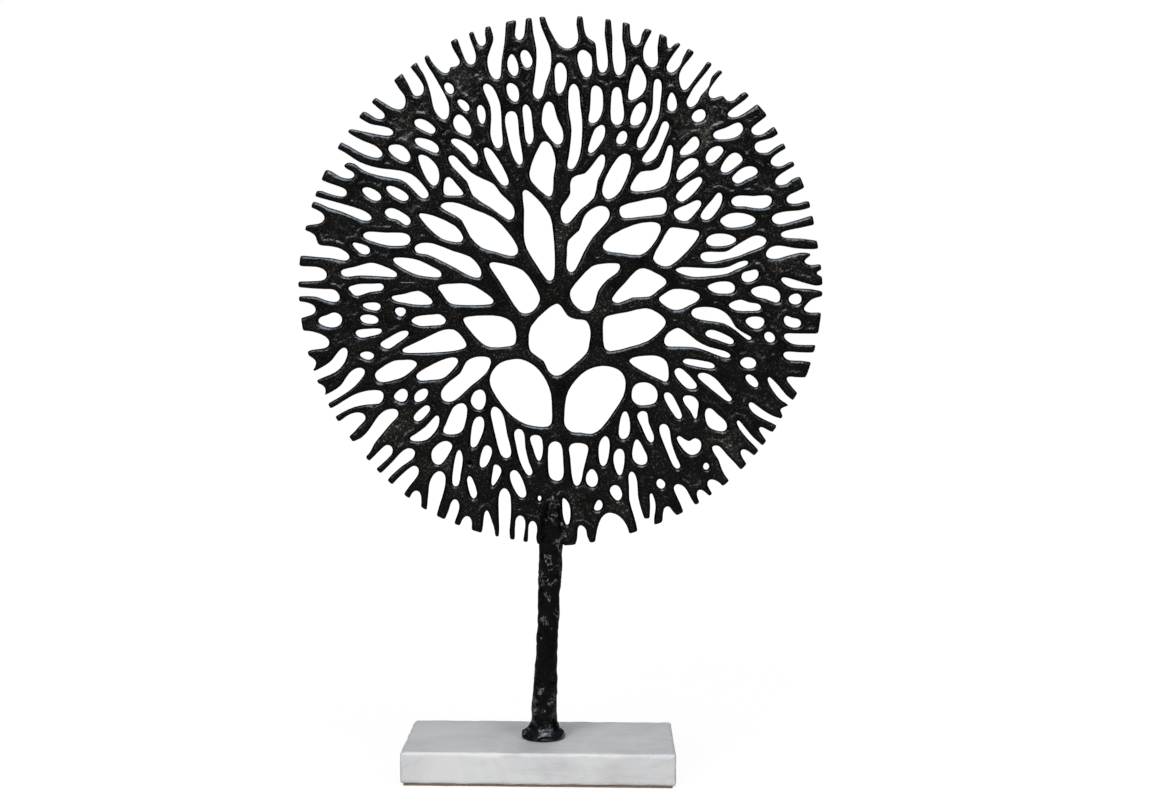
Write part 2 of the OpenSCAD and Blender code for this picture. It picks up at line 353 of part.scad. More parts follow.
// Rim openings, each drawn from outside the rim, inwards and back out again
TOP_GAPS = [
    [-19,172, -18,155, -16,145, -16,135, -17.5,123, -18,117, -15,113.6, -12,115.7, -10.2,124, -7.4,131.5,
    -7,143,
        -10,151, -13,158, -14.6,165, -14.8,172],
    [-28.3,170, -28.6,160, -29.4,153, -27.2,150, -24.6,151, -23.4,155, -23.3,170],
    [-45.7,168, -44.5,158, -43,153, -43,149, -46.2,140, -46.2,134, -44,128, -41,125.6, -38.6,126.8,
    -38,131, -37.7,137,
        -36,148, -35.3,158, -35.5,170],
    [-57.5,162, -55,154.5, -52.5,148, -50,146.1, -47.5,148.2, -48.1,153.5, -48.6,165],
    [-67,158, -65,150.3, -62,142, -59.5,136.6, -57,134.7, -54.3,136, -53.8,141, -56,147.3, -58.1,153.5,
    -58.4,162],
    [-86,149, -83,140, -79.5,134.5, -74.5,130, -71.3,129.6, -70,131.3, -70,133.2, -65.7,133.7, -63.6,136,
    -65,139.5,
        -68,144.5, -69.6,149, -71,158],
    [-90.5,144, -90,135, -86.5,129.5, -83.5,122.5, -81.5,115, -80,108, -77.5,103.7, -74,100.8,
    -71.5,101.6, -70.4,105,
        -70.8,111, -75,119.5, -80.5,129, -85,136, -88,146],
    [-102,136, -99,128.3, -96,123, -94,118.7, -92.3,116, -90,115.3, -87.4,116.3, -86.2,119, -86.8,122.5,
    -91.5,129.3,
        -95,133.5, -100,141],
    [-11,172, -10,162, -6,153.5, -2,147.3, 2,145, 6,145.4, 9.2,148.4, 9.9,153, 8.7,160, 8.5,172],
    [13.1,172, 13.3,160, 14.5,154, 16.5,151.2, 20.4,148.8, 21.3,144, 22,135, 23.8,130.6, 26.3,130.4,
    28.4,134, 28,142,
        26.3,154, 25.6,170],
    [30.3,172, 30.4,161, 31.3,152, 31.3,141, 32.4,133, 34,129, 36.3,128.7, 38.6,131.2, 39.6,136, 39,143,
    37.2,151,
        36.7,170],
    [43,170, 42.1,160, 42.5,152, 43.6,148.2, 46,146.8, 48.4,148.9, 49.5,154.3, 51.6,157.5, 54,166],
    [59,167, 56.3,157, 53.8,152, 51,146, 50.5,140.5, 52,136, 55.5,133.5, 58.8,134.7, 59.6,138.5, 59.2,146,
    60.2,153,
        61,166],
    [65.6,164, 65.2,153, 65.2,148.3, 66.1,145.1, 67.6,145.6, 70,148, 73.2,149.3, 77,157],
    [77,158, 74.4,148.6, 71,144, 67.5,139, 65.1,134.3, 65.6,131.4, 68,130.3, 71,132, 73.9,135.8, 75,139.3,
    77.2,143.5,
        80.5,152],
    [85,151, 82.3,143, 79,138.5, 75,133.5, 73,128.8, 73.2,124.5, 74.5,120.5, 76.2,119.5, 78.5,121,
    81.5,125, 86,131,
        89.6,136.2, 94,143],
    [97,141, 93,135, 90,131, 85.5,125.5, 82,121, 79.5,116.5, 77.7,112.8, 78.4,109.8, 80.5,109.1, 83,110.5,
    85,113,
        86.2,116, 91.3,122, 93,127.8, 97,131.6, 103,138],
];

LEFT_GAPS = [
    [-121,120, -115.5,114, -111,111.2, -106,108.2, -102,107, -99,107.7, -97.6,111, -98.2,115.3,
    -101.5,119.5,
        -104,123.5, -110,130],
    [-130,108, -122,105.2, -118.5,103, -115.5,101.3, -112,101.1, -110.5,102.7, -111.5,105, -115,107.9,
    -118,110.5,
        -126,115],
    [-139,96, -130,94.5, -124,93.3, -119,92.3, -112,91, -107.3,90.8, -105.2,92, -105.9,94, -109,95.8,
    -115,97,
        -120,98, -126.3,101.5, -135,106],
    [-143,92, -137,86.3, -133,84.3, -127,80.8, -121,78.2, -116,77, -113.3,77.4, -112,79, -113,81.3,
    -117,84.6,
        -124,87.3, -130.5,90.6, -135,93.5, -142,98],
    [-147,84, -138.5,81.6, -134,79, -127,74.5, -119,71.6, -112,70.2, -101,69, -94,66.8, -89,62.8,
    -84.7,57.5, -83,54,
        -84.7,52, -87.5,52.2, -92,56.5, -97,61.5, -101.5,63.8, -110,65.2, -120,67.5, -126,70.5, -129.5,73.2,
        -134,73.9, -136.4,72.3, -150,72],
    [-152,80, -136.4,72.6, -136,71.3, -134,69.7, -131,68.2, -129.5,66.3, -130.7,64.5, -134,64, -138,64.9,
    -142,67.2,
        -145,69, -148,69.4, -158,73],
    [-162,66, -150,62.8, -146,61.2, -138.5,58.7, -135.2,57, -134.4,54.7, -135.9,52.9, -139,52.9,
    -146,54.7, -150,56.2,
        -154,56.3, -166,58],
    [-165,56, -153.5,52.5, -145,50.2, -135,47.5, -125,44.4, -120,41.4, -118.8,39, -120.7,37.8, -125,38.2,
    -130,40.3,
        -138,43.6, -146,46, -151,48.3, -154.5,49.4, -166,51],
    [-168,47, -156,45.4, -152,43.6, -149.2,41.5, -148.5,39, -150.2,36.6, -153.5,35.6, -158,35, -170,34],
    [-170,31, -160,31.3, -156.5,29.8, -154.3,28, -153,24, -151.5,22.3, -146,21.8, -140,20.7, -136,18.7,
    -133.2,16.2,
        -133,14, -135,12.9, -139,13.3, -144,14.3, -153,15, -162,15.8, -172,16],
    [-174,9.3, -162,9, -154,8.7, -150,7.6, -147.6,5.5, -147.3,2.7, -149,0.7, -153,0, -164,-0.4, -174,-0.4],
    [-174,-3.8, -165,-4.1, -157,-4.8, -148,-5.2, -143,-5.4, -140.4,-7.3, -139,-10.4, -140.1,-12.7,
    -143,-13.1,
        -148,-12.1, -153.5,-10, -159,-9.6, -164,-9.7, -174,-9.5],
    [-174,-14, -164.5,-13.1, -159,-13.9, -155.5,-15.5, -154.2,-18, -155.4,-20.6, -159,-22, -163,-23.2,
    -174,-25],
    [-172,-31, -161.5,-31.4, -156,-32, -150,-34, -146.6,-36.5, -145.7,-39, -147,-41.5, -151,-42.6,
    -157,-43.4,
        -161,-44.7, -171,-45],
    [-170,-47.5, -160,-46.6, -156.5,-48.5, -154.3,-50.5, -154.4,-53, -156,-55.7, -165,-57],
    [-168,-62, -155.5,-57, -150,-54.1, -145,-50.7, -141.7,-46.6, -139.3,-43.6, -136.5,-41.8, -134.4,-43.2,
    -134.5,-47,
        -137.2,-52.8, -142,-57.3, -149,-60.4, -154,-62.5, -165,-66],
    [-164,-67.5, -153.7,-64.6, -150.2,-65.6, -148.3,-68, -148.8,-71.3, -158,-75],
    [-159,-78, -148.5,-72, -143,-69, -138.5,-65.7, -136,-62, -133,-57.8, -129.5,-55.2, -126,-54.5,
    -123.3,-56.2,
        -124.2,-59.5, -130,-66.3, -137,-71.5, -146,-76.8, -156,-82],
    [-157,-87, -145,-80.4, -141,-78.2, -131,-72, -124,-69.5, -118,-68.6, -113.3,-69, -111.6,-71,
    -112.2,-74.8,
        -114.6,-77, -122,-77.6, -130,-79.2, -136,-81.8, -141,-84.7, -151,-90],
    [-149,-93, -139,-88.2, -135,-85.1, -130,-83, -126,-82.9, -123.3,-84.5, -123.2,-87.3, -127,-91.3,
    -131.2,-96,
        -141,-102],
    [-138,-106, -129,-100.5, -125.5,-98.7, -121,-94, -118,-89.5, -114.5,-84.6, -110.5,-81.4, -106,-80.3,
    -102.8,-81.2,
        -102.3,-84.5, -106.5,-89, -113,-96.8, -117.5,-102.5, -120,-107.5, -123,-110.8, -131,-118],
    [-129,-120, -120.5,-113.3, -115,-107.8, -111,-103.9, -108.5,-103.1, -106,-105, -106.3,-108.8,
    -113,-115.5,
        -116.2,-118.3, -124,-125],
    [-122,-129, -113.5,-121.4, -106,-114, -100.5,-107.9, -97,-105.5, -94,-105.3, -91.6,-107.6, -93.2,-111.7,
        -100,-116.5, -107,-122.8, -109,-125.2, -117,-132],
    [-112,-137, -106,-128.3, -100,-122, -94,-117, -91.2,-116.3, -89.3,-118.5, -90,-122.4, -95,-128.8,
    -98,-133,
        -105,-142],
];

BOTTOM_GAPS = [
    [-101,-148, -95,-136.9, -93.5,-133.6, -91,-132, -88.8,-133, -87.8,-136, -87.9,-142.5, -91,-154],
    [-85,-155, -84,-143, -83,-132, -82.4,-127, -80,-122, -76.5,-119.5, -73.7,-120.6, -72.3,-124, -73.4,-132,
        -76,-140.5, -78,-147.5, -81,-157],
    [-76,-160, -72.8,-150.5, -70.3,-144.5, -68.7,-139.4, -66.5,-137.2, -64.4,-138.6, -63.6,-142,
    -64.6,-146.5,
        -66.8,-152.5, -69,-163],
    [-64.5,-162, -62.5,-152.3, -60.5,-148.8, -58.5,-147.9, -56.6,-149.1, -55.6,-152, -55.8,-156,
    -56.5,-167],
    [-49.5,-168, -48.5,-154, -47.8,-147.3, -46.4,-143.7, -44.9,-145.7, -43,-151, -41.2,-157, -41,-170],
    [-38.1,-172, -38.2,-156, -38.7,-140, -38,-133, -35.5,-130, -33,-131.3, -31.2,-135.7, -31,-148,
    -31.8,-157,
        -31.8,-173],
    [-28.5,-174, -28.3,-162, -27.9,-150.5, -26,-147.5, -23.6,-147.8, -21.9,-150.7, -22,-156, -23,-163,
    -23,-174],
    [-20.1,-174, -19.9,-162, -19.6,-154, -18.5,-151.2, -16.6,-150.8, -14.7,-153, -14.3,-157, -14.9,-161,
    -14.3,-164.5,
        -14.3,-174],
    [0.9,-176, 1,-166, 1.3,-163.6, 2.1,-165, 3.2,-166.7, 6,-174],
    [19,-174, 18.9,-163.8, 17.3,-160, 16.7,-156, 14.2,-153.4, 12.2,-153.5, 11.4,-157, 11.2,-162, 10,-166,
    9.6,-176],
    [44,-169, 43.8,-157.5, 41.5,-151.7, 37.5,-147.2, 32.5,-145.2, 29.2,-145.8, 26.2,-149, 24.3,-154,
    23,-161,
        22.9,-172],
    [49.8,-168, 49.3,-156, 47,-147, 44.1,-137, 43.8,-128, 43.4,-121.5, 45.1,-118.7, 47.4,-120.8, 48.8,-126,
        49.3,-134, 50.6,-140, 52.9,-147.2, 53.6,-148.8, 57.5,-149, 58,-166],
    [56.2,-165, 57,-147, 57.2,-140, 56.8,-133, 57.4,-131.4, 59.8,-136.5, 60.5,-142, 59.6,-149, 59.5,-165],
    [65,-163, 65.1,-149, 65.8,-142.7, 67.5,-140.8, 69.4,-141.2, 71.4,-144, 74,-146.8, 78,-156],
    [83,-155, 78.5,-144.7, 76,-138.5, 72.7,-131.5, 72,-128.7, 73.6,-126.8, 76.7,-127.2, 79.8,-130, 83,-136,
        85.6,-140, 91,-150],
    [101,-143, 94.2,-134, 91,-131.1, 88.5,-130, 86.9,-131, 86.7,-134, 88.3,-138, 92,-147],
    [109,-135, 102.8,-127.9, 100,-125.1, 96,-123.5, 93.7,-124.2, 93.2,-127, 94.8,-130, 96.6,-133, 102,-142],
    [120,-124, 113.9,-117.2, 110.5,-113.4, 105,-107.7, 100.5,-102.7, 98,-102, 95.7,-103, 97.3,-107,
    100,-111,
        102,-116.7, 104,-120.5, 107,-124.3, 113,-132],
    [128,-115, 122.2,-108.4, 119,-105.8, 116,-104.3, 114.2,-104.7, 113.9,-107, 115.6,-110.5, 118,-113.7,
    124,-120],
];

RIGHT_GAPS = [
    [132,-107, 126.7,-101.3, 121.5,-96.7, 117,-91.5, 113,-86.6, 111.5,-85.7, 111,-87, 113.1,-91.5,
    118,-97.5,
        122.3,-101.8, 125.2,-105, 131,-111],
    [142,-99, 133.6,-93.5, 130.5,-92, 127,-90.2, 125.3,-90.3, 125.3,-92, 127.2,-95, 130.2,-99, 137,-105],
    [148,-89, 138.7,-84.8, 134,-83.3, 128,-80, 122,-75.6, 119.3,-74.4, 118.4,-75.7, 119.7,-79, 123,-82.3,
    130,-86.1,
        136.2,-89, 145,-95],
    [149,-77, 142.5,-76.9, 139.8,-78, 138.2,-79.2, 139.2,-81, 140.3,-83.7, 147,-87],
    [151,-78, 145.5,-72.8, 142,-70, 137,-64, 132.5,-59.5, 130.8,-58.4, 130.1,-59.7, 131.7,-64, 136,-70.3,
        139.5,-73.6, 143,-75.6, 149,-80],
    [166,-58.5, 154,-58.8, 148,-58.7, 142.8,-58.4, 142.1,-60, 144.1,-63, 148.5,-68, 156,-74],
    [170,-42.6, 157,-43.2, 148,-43, 142,-42.7, 139.7,-43.9, 140.9,-46.5, 144,-48, 151,-48.2, 157,-49,
    169,-50],
    [170,-30.6, 160,-31.3, 146,-31.3, 141,-31.4, 140,-33, 142.1,-35.8, 146,-37.8, 152,-38.3, 160,-38.2,
    170,-38.2],
    [172,-7.4, 162,-8.3, 157,-10, 154,-13, 152.2,-15.7, 153.7,-17.4, 157,-18.1, 162,-17.9, 172,-18.4],
    [172,-0.8, 160,-1.3, 155,-0.3, 149,1.4, 143,3.2, 139,3.8, 137.6,2.7, 139.7,0, 143,-2, 147,-2.9,
    156,-3.3,
        161,-4.2, 172,-6],
    [172,8.5, 163,8.5, 160.7,7.6, 159.4,6.5, 161.2,5.4, 163.3,4.4, 172,3.5],
    [170,21.2, 157,21.4, 146,22, 140,23.1, 135,23.5, 130.7,22.1, 128.3,19.2, 128.6,16.7, 131.2,15.5,
    135.5,15.5,
        141,17.2, 149,19.2, 153.5,19.2, 156.5,18.2, 154,16, 152,13.9, 153.8,12.3, 157,11.6, 161,12.2,
        172,12],
    [170,38.8, 158,36.6, 150,34.8, 143,33.4, 138.7,32.1, 137,30.4, 138.7,28.9, 143,28.3, 151,28, 157,27.2,
    171,26.8],
    [168,50.3, 156,47.4, 149,45.5, 141,44.9, 135,43.6, 132.3,42, 131.5,40, 133.2,37.7, 137,36.8, 143,38.3,
        151,40.7, 157.5,42.8, 169,45],
    [164,63.6, 151.7,59.6, 147,57.2, 142.7,55.3, 140.6,53, 141,50.8, 143,49.8, 148,49.9, 152,51.2,
    156,51.6, 167,54],
    [156,78, 145.6,73.2, 141,70.6, 135.7,67.1, 133.3,64, 134.1,61.6, 137,61.2, 140.5,62, 144,65, 149,66.8,
    161,71],
    [151,89, 140.3,84, 136,81.7, 131.7,78.4, 130.3,75.5, 131.5,73.5, 135,72.7, 138.3,73.3, 141.5,75.3,
    145,76.2,
        156,80],
    [145,97, 135.2,92.9, 131,90.3, 124.5,88.6, 121.2,87.1, 120.3,85, 121.3,82.3, 124,81.1, 128.8,81.5,
    133,84.5,
        138,87.3, 147,92],
    [138,111, 128.4,104.4, 124,101, 119.2,97.2, 118,95, 119.3,92.7, 122.5,92, 126,93.1, 131.3,97.1,
    141,104],
    [125,123, 117.3,116.9, 113.5,113.4, 108,109.4, 103.7,105.9, 103.3,104.1, 105,103.1, 109.5,103.3,
    116,107.2,
        121.3,111.2, 131,120],
    [109,136, 100,130.4, 97,127.3, 92.7,121.3, 91.3,118, 92.2,115.2, 94.6,114.6, 97.5,115.7, 100.5,116.1,
    102,113.8,
        104,113, 107,113.3, 111,117.3, 114.7,119.2, 122,126],
];

// Point k of a list of x, y pairs that closes on itself
function knot(list, k) = let (n = len(list) / 2, m = (k % n + n) % n) [list[2 * m], list[2 * m + 1]];

// Distance from point k to the next
function step_length(list, k) = norm(knot(list, k + 1) - knot(list, k));

// Direction of the curve at point k, as a rate along its length
function heading(list, k) =
    (knot(list, k + 1) - knot(list, k - 1)) / (step_length(list, k) + step_length(list, k - 1));

// Point of the curve between point k and the next, at a share s of the way
function on_curve(list, k, s) =
    knot(list, k) * (1 + 2 * s) * pow(1 - s, 2)
    + knot(list, k + 1) * (3 - 2 * s) * s * s
    + heading(list, k) * step_length(list, k) * s * pow(1 - s, 2)
    + heading(list, k + 1) * step_length(list, k) * (s - 1) * s * s;

function smooth_outline(list) =
    [for (k = [0 : len(list) / 2 - 1]) for (i = [0 : curve_steps - 1]) on_curve(list, k, i / curve_steps)];

// Rim radius at any angle, between the listed ones
function rim_radius(angle) =
    let (k = floor(angle / 10), s = angle / 10 - k)
    RIM[k % 36] * (1 - s) + RIM[(k + 1) % 36] * s;

module rim_outline() {
    polygon([for (a = [0 : 2.5 : 357.5]) rim_radius(a) * [cos(a), sin(a)]]);
}

module openings(lists) {
    for (list = lists)
        polygon(smooth_outline(list));
}

module crown() {
    color([0.03, 0.03, 0.035])
        translate([crown_shift, crown_thickness / 2, base_top + crown_centre])
            rotate([90, 0, 0])
                linear_extrude(height = crown_thickness)
                    difference() {
                        rim_outline();
                        openings(HEART);
                        openings(LEFT_MIDDLE);
                        openings(RIGHT_MIDDLE);
                        openings(TOP_SIDE);
                        openings(LEFT_SIDE);
                        openings(BOTTOM_SIDE);
                        openings(RIGHT_SIDE);
                        openings(TOP_GAPS);
                        openings(LEFT_GAPS);
                        openings(BOTTOM_GAPS);
                        openings(RIGHT_GAPS);
                    }
}

// Round head that tapers to a point above the slot, swollen outwards by grow
module tapered_head(grow) {
    rotate_extrude($fn = 64)
        polygon([
            [0, head_start - head_overlap],
            [post_head / 2 + grow, head_start - head_overlap],
            [post_head / 2 + grow, head_start],
            [post_head / 2 - 0.2 + grow, head_start + 10],
            [post_head / 2 - 1.1 + grow, head_start + 17],
            [post_head / 2 - 2.5 + grow, head_start + 23],
            [post_head / 2 - 4.4 + grow, head_start + 28],
            [0, head_tip + grow],
        ]);
}

module leaning() {
    translate([post_offset, 0, base_top])
        rotate([0, lean, 0])
            children();
}

module stem() {
    color([0.03, 0.03, 0.035])
        difference() {
            union() {
                leaning()
                    rotate_extrude($fn = 64)
                        polygon([
                            [0, blend_height - post_overlap],
                            [post_waist / 2 + 1.4, blend_height - post_overlap],
                            [post_waist / 2 + 1.4, blend_height],
                            [post_waist / 2 + 1, 26],
                            [post_waist / 2 + 0.2, 50],
                            [post_waist / 2, 62],
                            [post_waist / 2 + 0.1, 90],
                            [post_head / 2, slot_floor - 5],
                            [post_head / 2, slot_floor],
                            [0, slot_floor],
                        ]);
                leaning()
                    tapered_head(0);
                translate([post_offset, 0, base_top])
                    rotate_extrude($fn = 64)
                        polygon([
                            [0, 0],
                            [foot_diameter / 2 - 0.6, 0],
                            [foot_diameter / 2, 0.8],
                            [foot_diameter / 2, foot_rim - 0.8],
                            [foot_diameter / 2 - 0.8, foot_rim],
                            [foot_diameter / 2 - 2.6, foot_rim + 0.8],
                            [foot_diameter / 2 - 4.2, foot_rim + 2.4],
                            [foot_diameter / 2 - 5.1, foot_rim + 4.6],
                            [foot_diameter / 2 - 5.6, foot_rim + 8],
                            [0, foot_rim + 8],
                        ]);
            }
            leaning()
                translate([-post_head, -crown_thickness / 2 - fit_gap, slot_floor])
                    cube([2 * post_head, crown_thickness + 2 * fit_gap, head_tip]);
            translate([post_offset, 0, base_top - cut_past])
                cylinder(h = stud_in_post + socket_spare + cut_past, d = stud_diameter + fit_gap, $fn = 48);
        }
}

module weld_beads() {
    color([0.05, 0.05, 0.055])
        intersection() {
            leaning()
                difference() {
                    tapered_head(bead_width);
                    tapered_head(0);
                }
            for (side = [-1, 1])
                translate([
                    -post_head,
                    side * (crown_thickness + bead_height) / 2 - bead_height / 2,
                    base_top + bead_start
                ])
                    cube([4 * post_head, bead_height, head_tip - bead_start + bead_width + bead_spare]);
        }
}

module threaded_stud() {
    color([0.62, 0.63, 0.65])
        translate([
            post_offset, 0,
            recess_top - washer_thickness - spring_thickness - nut_height - stud_past_nut
        ])
            cylinder(
                h = washer_thickness + spring_thickness + nut_height + stud_past_nut
                    + base_top - recess_top + stud_in_post,
                d = stud_diameter, $fn = 48);
}

// Flat ring that hangs below a height
module ring(top, thickness, outer) {
    translate([post_offset, 0, top - thickness])
        difference() {
            cylinder(h = thickness, d = outer, $fn = 64);
            translate([0, 0, -cut_past])
                cylinder(h = thickness + 2 * cut_past, d = stud_diameter + 4 * fit_gap, $fn = 48);
        }
}

module flat_washer() {
    color([0.66, 0.67, 0.69])
        ring(recess_top, washer_thickness, washer_diameter);
}

module spring_washer() {
    color([0.55, 0.56, 0.58])
        difference() {
            ring(recess_top - washer_thickness, spring_thickness, spring_diameter);
            translate([post_offset, 0, recess_top - washer_thickness - spring_thickness - cut_past])
                rotate([0, 0, spring_turn])
                    translate([0, -spring_split / 2, 0])
                        cube([spring_diameter, spring_split, spring_thickness + 2 * cut_past]);
        }
}

module hex_nut() {
    color([0.62, 0.63, 0.65])
        translate([post_offset, 0, recess_top - washer_thickness - spring_thickness - nut_height])
            difference() {
                intersection() {
                    cylinder(h = nut_height, d = nut_flats / cos(30), $fn = 6);
                    cylinder(
                        h = nut_height,
                        d1 = nut_flats * nut_trim_narrow, d2 = nut_flats * nut_trim_wide, $fn = 64);
                    cylinder(
                        h = nut_height,
                        d1 = nut_flats * nut_trim_wide, d2 = nut_flats * nut_trim_narrow, $fn = 64);
                }
                translate([0, 0, -cut_past])
                    cylinder(h = nut_height + 2 * cut_past, d = stud_diameter + fit_gap, $fn = 48);
            }
}

module rounded_slab(length, depth, height, corner) {
    linear_extrude(height = height)
        union() {
            square([length, depth - 2 * corner], center = true);
            square([length - 2 * corner, depth], center = true);
            for (x = [-1, 1])
                for (y = [-1, 1])
                    translate([x * (length / 2 - corner), y * (depth / 2 - corner)])
                        circle(r = corner, $fn = 48);
        }
}

module marble_base() {
    color([0.93, 0.93, 0.92])
        difference() {
            translate([0, 0, felt_thickness])
                rounded_slab(base_length, base_depth, base_height, base_corner);
            translate([post_offset, 0, felt_thickness - cut_past])
                cylinder(h = recess_depth + cut_past, d = recess_diameter, $fn = 64);
            translate([post_offset, 0, felt_thickness - cut_past])
                cylinder(h = base_height + 2 * cut_past, d = passage_diameter, $fn = 48);
        }
}

module felt_sheet() {
    color([0.35, 0.22, 0.14])
        rounded_slab(
            base_length - 2 * felt_inset, base_depth - 2 * felt_inset, felt_thickness, 2 * base_corner);
}

crown();
stem();
weld_beads();
threaded_stud();
flat_washer();
spring_washer();
hex_nut();
marble_base();
felt_sheet();
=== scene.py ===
"""Looks of the tree of life sculpture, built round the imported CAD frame.

Lengths in the mesh code are millimetres. Lamps and the camera are placed in metres.
"""

import math

import bpy
import numpy as np
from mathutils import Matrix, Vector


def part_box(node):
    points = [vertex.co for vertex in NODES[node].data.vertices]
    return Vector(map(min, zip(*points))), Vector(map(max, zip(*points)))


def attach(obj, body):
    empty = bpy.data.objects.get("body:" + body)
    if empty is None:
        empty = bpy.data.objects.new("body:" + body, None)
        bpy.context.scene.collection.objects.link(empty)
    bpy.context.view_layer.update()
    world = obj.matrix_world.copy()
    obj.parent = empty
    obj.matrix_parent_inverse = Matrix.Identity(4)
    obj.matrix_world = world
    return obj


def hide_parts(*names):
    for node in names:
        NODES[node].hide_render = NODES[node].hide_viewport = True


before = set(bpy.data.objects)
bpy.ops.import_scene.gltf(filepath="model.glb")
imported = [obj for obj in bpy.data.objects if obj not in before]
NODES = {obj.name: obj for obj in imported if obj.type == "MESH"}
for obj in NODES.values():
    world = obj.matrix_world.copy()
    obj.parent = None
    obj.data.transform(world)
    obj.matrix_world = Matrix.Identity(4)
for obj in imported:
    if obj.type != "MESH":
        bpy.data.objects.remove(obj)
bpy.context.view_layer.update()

MM = 0.001
NOISE_CELLS = 256


# ---------------------------------------------------------------- helpers


def node_box(name):
    lo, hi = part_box(name)
    return np.array(lo) / MM, np.array(hi) / MM


def noise(u, v, seed, wrap=NOISE_CELLS):
    """Smooth value noise from -1 to 1. The table repeats every wrap cells along v."""
    table = np.random.default_rng(seed).uniform(-1, 1, (NOISE_CELLS, wrap))
    iu, iv = np.floor(u).astype(int), np.floor(v).astype(int)
    fu, fv = u - iu, v - iv
    fu, fv = fu * fu * (3 - 2 * fu), fv * fv * (3 - 2 * fv)
    a, b = iu % NOISE_CELLS, (iu + 1) % NOISE_CELLS
    c, d = iv % wrap, (iv + 1) % wrap
    low = table[a, c] * (1 - fu) + table[b, c] * fu
    high = table[a, d] * (1 - fu) + table[b, d] * fu
    return low * (1 - fv) + high * fv


def blur(field, sigma):
    """Gaussian blur of a grid, sigma in cells."""
    n = int(3 * sigma + 1)
    k = np.exp(-0.5 * (np.arange(-n, n + 1) / sigma) ** 2)
    k /= k.sum()
    for axis in (0, 1):
        pad = [(n, n) if i == axis else (0, 0) for i in (0, 1)]
        wide = np.pad(field, pad, mode="edge")
        size = field.shape[axis]
        field = sum(
            w * (wide[i : i + size] if axis == 0 else wide[:, i : i + size])
            for i, w in enumerate(k)
        )
    return field


def piece(name, points, faces, material, replaced=(), smooth=True):
    """A mesh object in metres that rides on the root body and may stand for CAD nodes."""
    mesh = bpy.data.meshes.new(name)
    mesh.from_pydata((np.asarray(points) * MM).tolist(), [], [list(f) for f in faces])
    mesh.validate()
    mesh.polygons.foreach_set("use_smooth", [smooth] * len(mesh.polygons))
    mesh.materials.append(material)
    obj = bpy.data.objects.new(name, mesh)
    bpy.context.scene.collection.objects.link(obj)
    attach(obj, "root")
    if replaced:
        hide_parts(*replaced)
    return obj


def ring_faces(rows, columns, closed_rows=False):
    """Quads of a grid whose columns wrap round, and whose rows may too."""
    r = np.arange(rows if closed_rows else rows - 1)
    r, c = np.meshgrid(r, np.arange(columns), indexing="ij")
    row, next_row = r * columns, ((r + 1) % rows) * columns
    next_c = (c + 1) % columns
    corners = (row + c, row + next_c, next_row + next_c, next_row + c)
    return np.stack([corner.ravel() for corner in corners], 1).tolist()


def end_caps(rows, columns):
    """The two faces that close a stack of rings at its ends."""
    last = (rows - 1) * columns
    return [list(range(columns))[::-1], [last + i for i in range(columns)]]


# ---------------------------------------------------------------- materials


def plug(tree, socket, value):
    """Links a socket to another one, or sets it to a number or colour."""
    if isinstance(value, bpy.types.NodeSocket):
        tree.links.new(value, socket)
    else:
        socket.default_value = value


def feed(tree, node, inputs):
    """Plugs a node's inputs by name, with underscores for spaces."""
    for key, value in inputs.items():
        plug(tree, node.inputs[key.replace("_", " ")], value)


def add_node(tree, kind, **inputs):
    node = tree.nodes.new(kind)
    feed(tree, node, inputs)
    return node


def fit_range(tree, value, low, high, out_low, out_high):
    ends = {"From_Min": low, "From_Max": high, "To_Min": out_low, "To_Max": out_high}
    return add_node(tree, "ShaderNodeMapRange", Value=value, **ends).outputs["Result"]


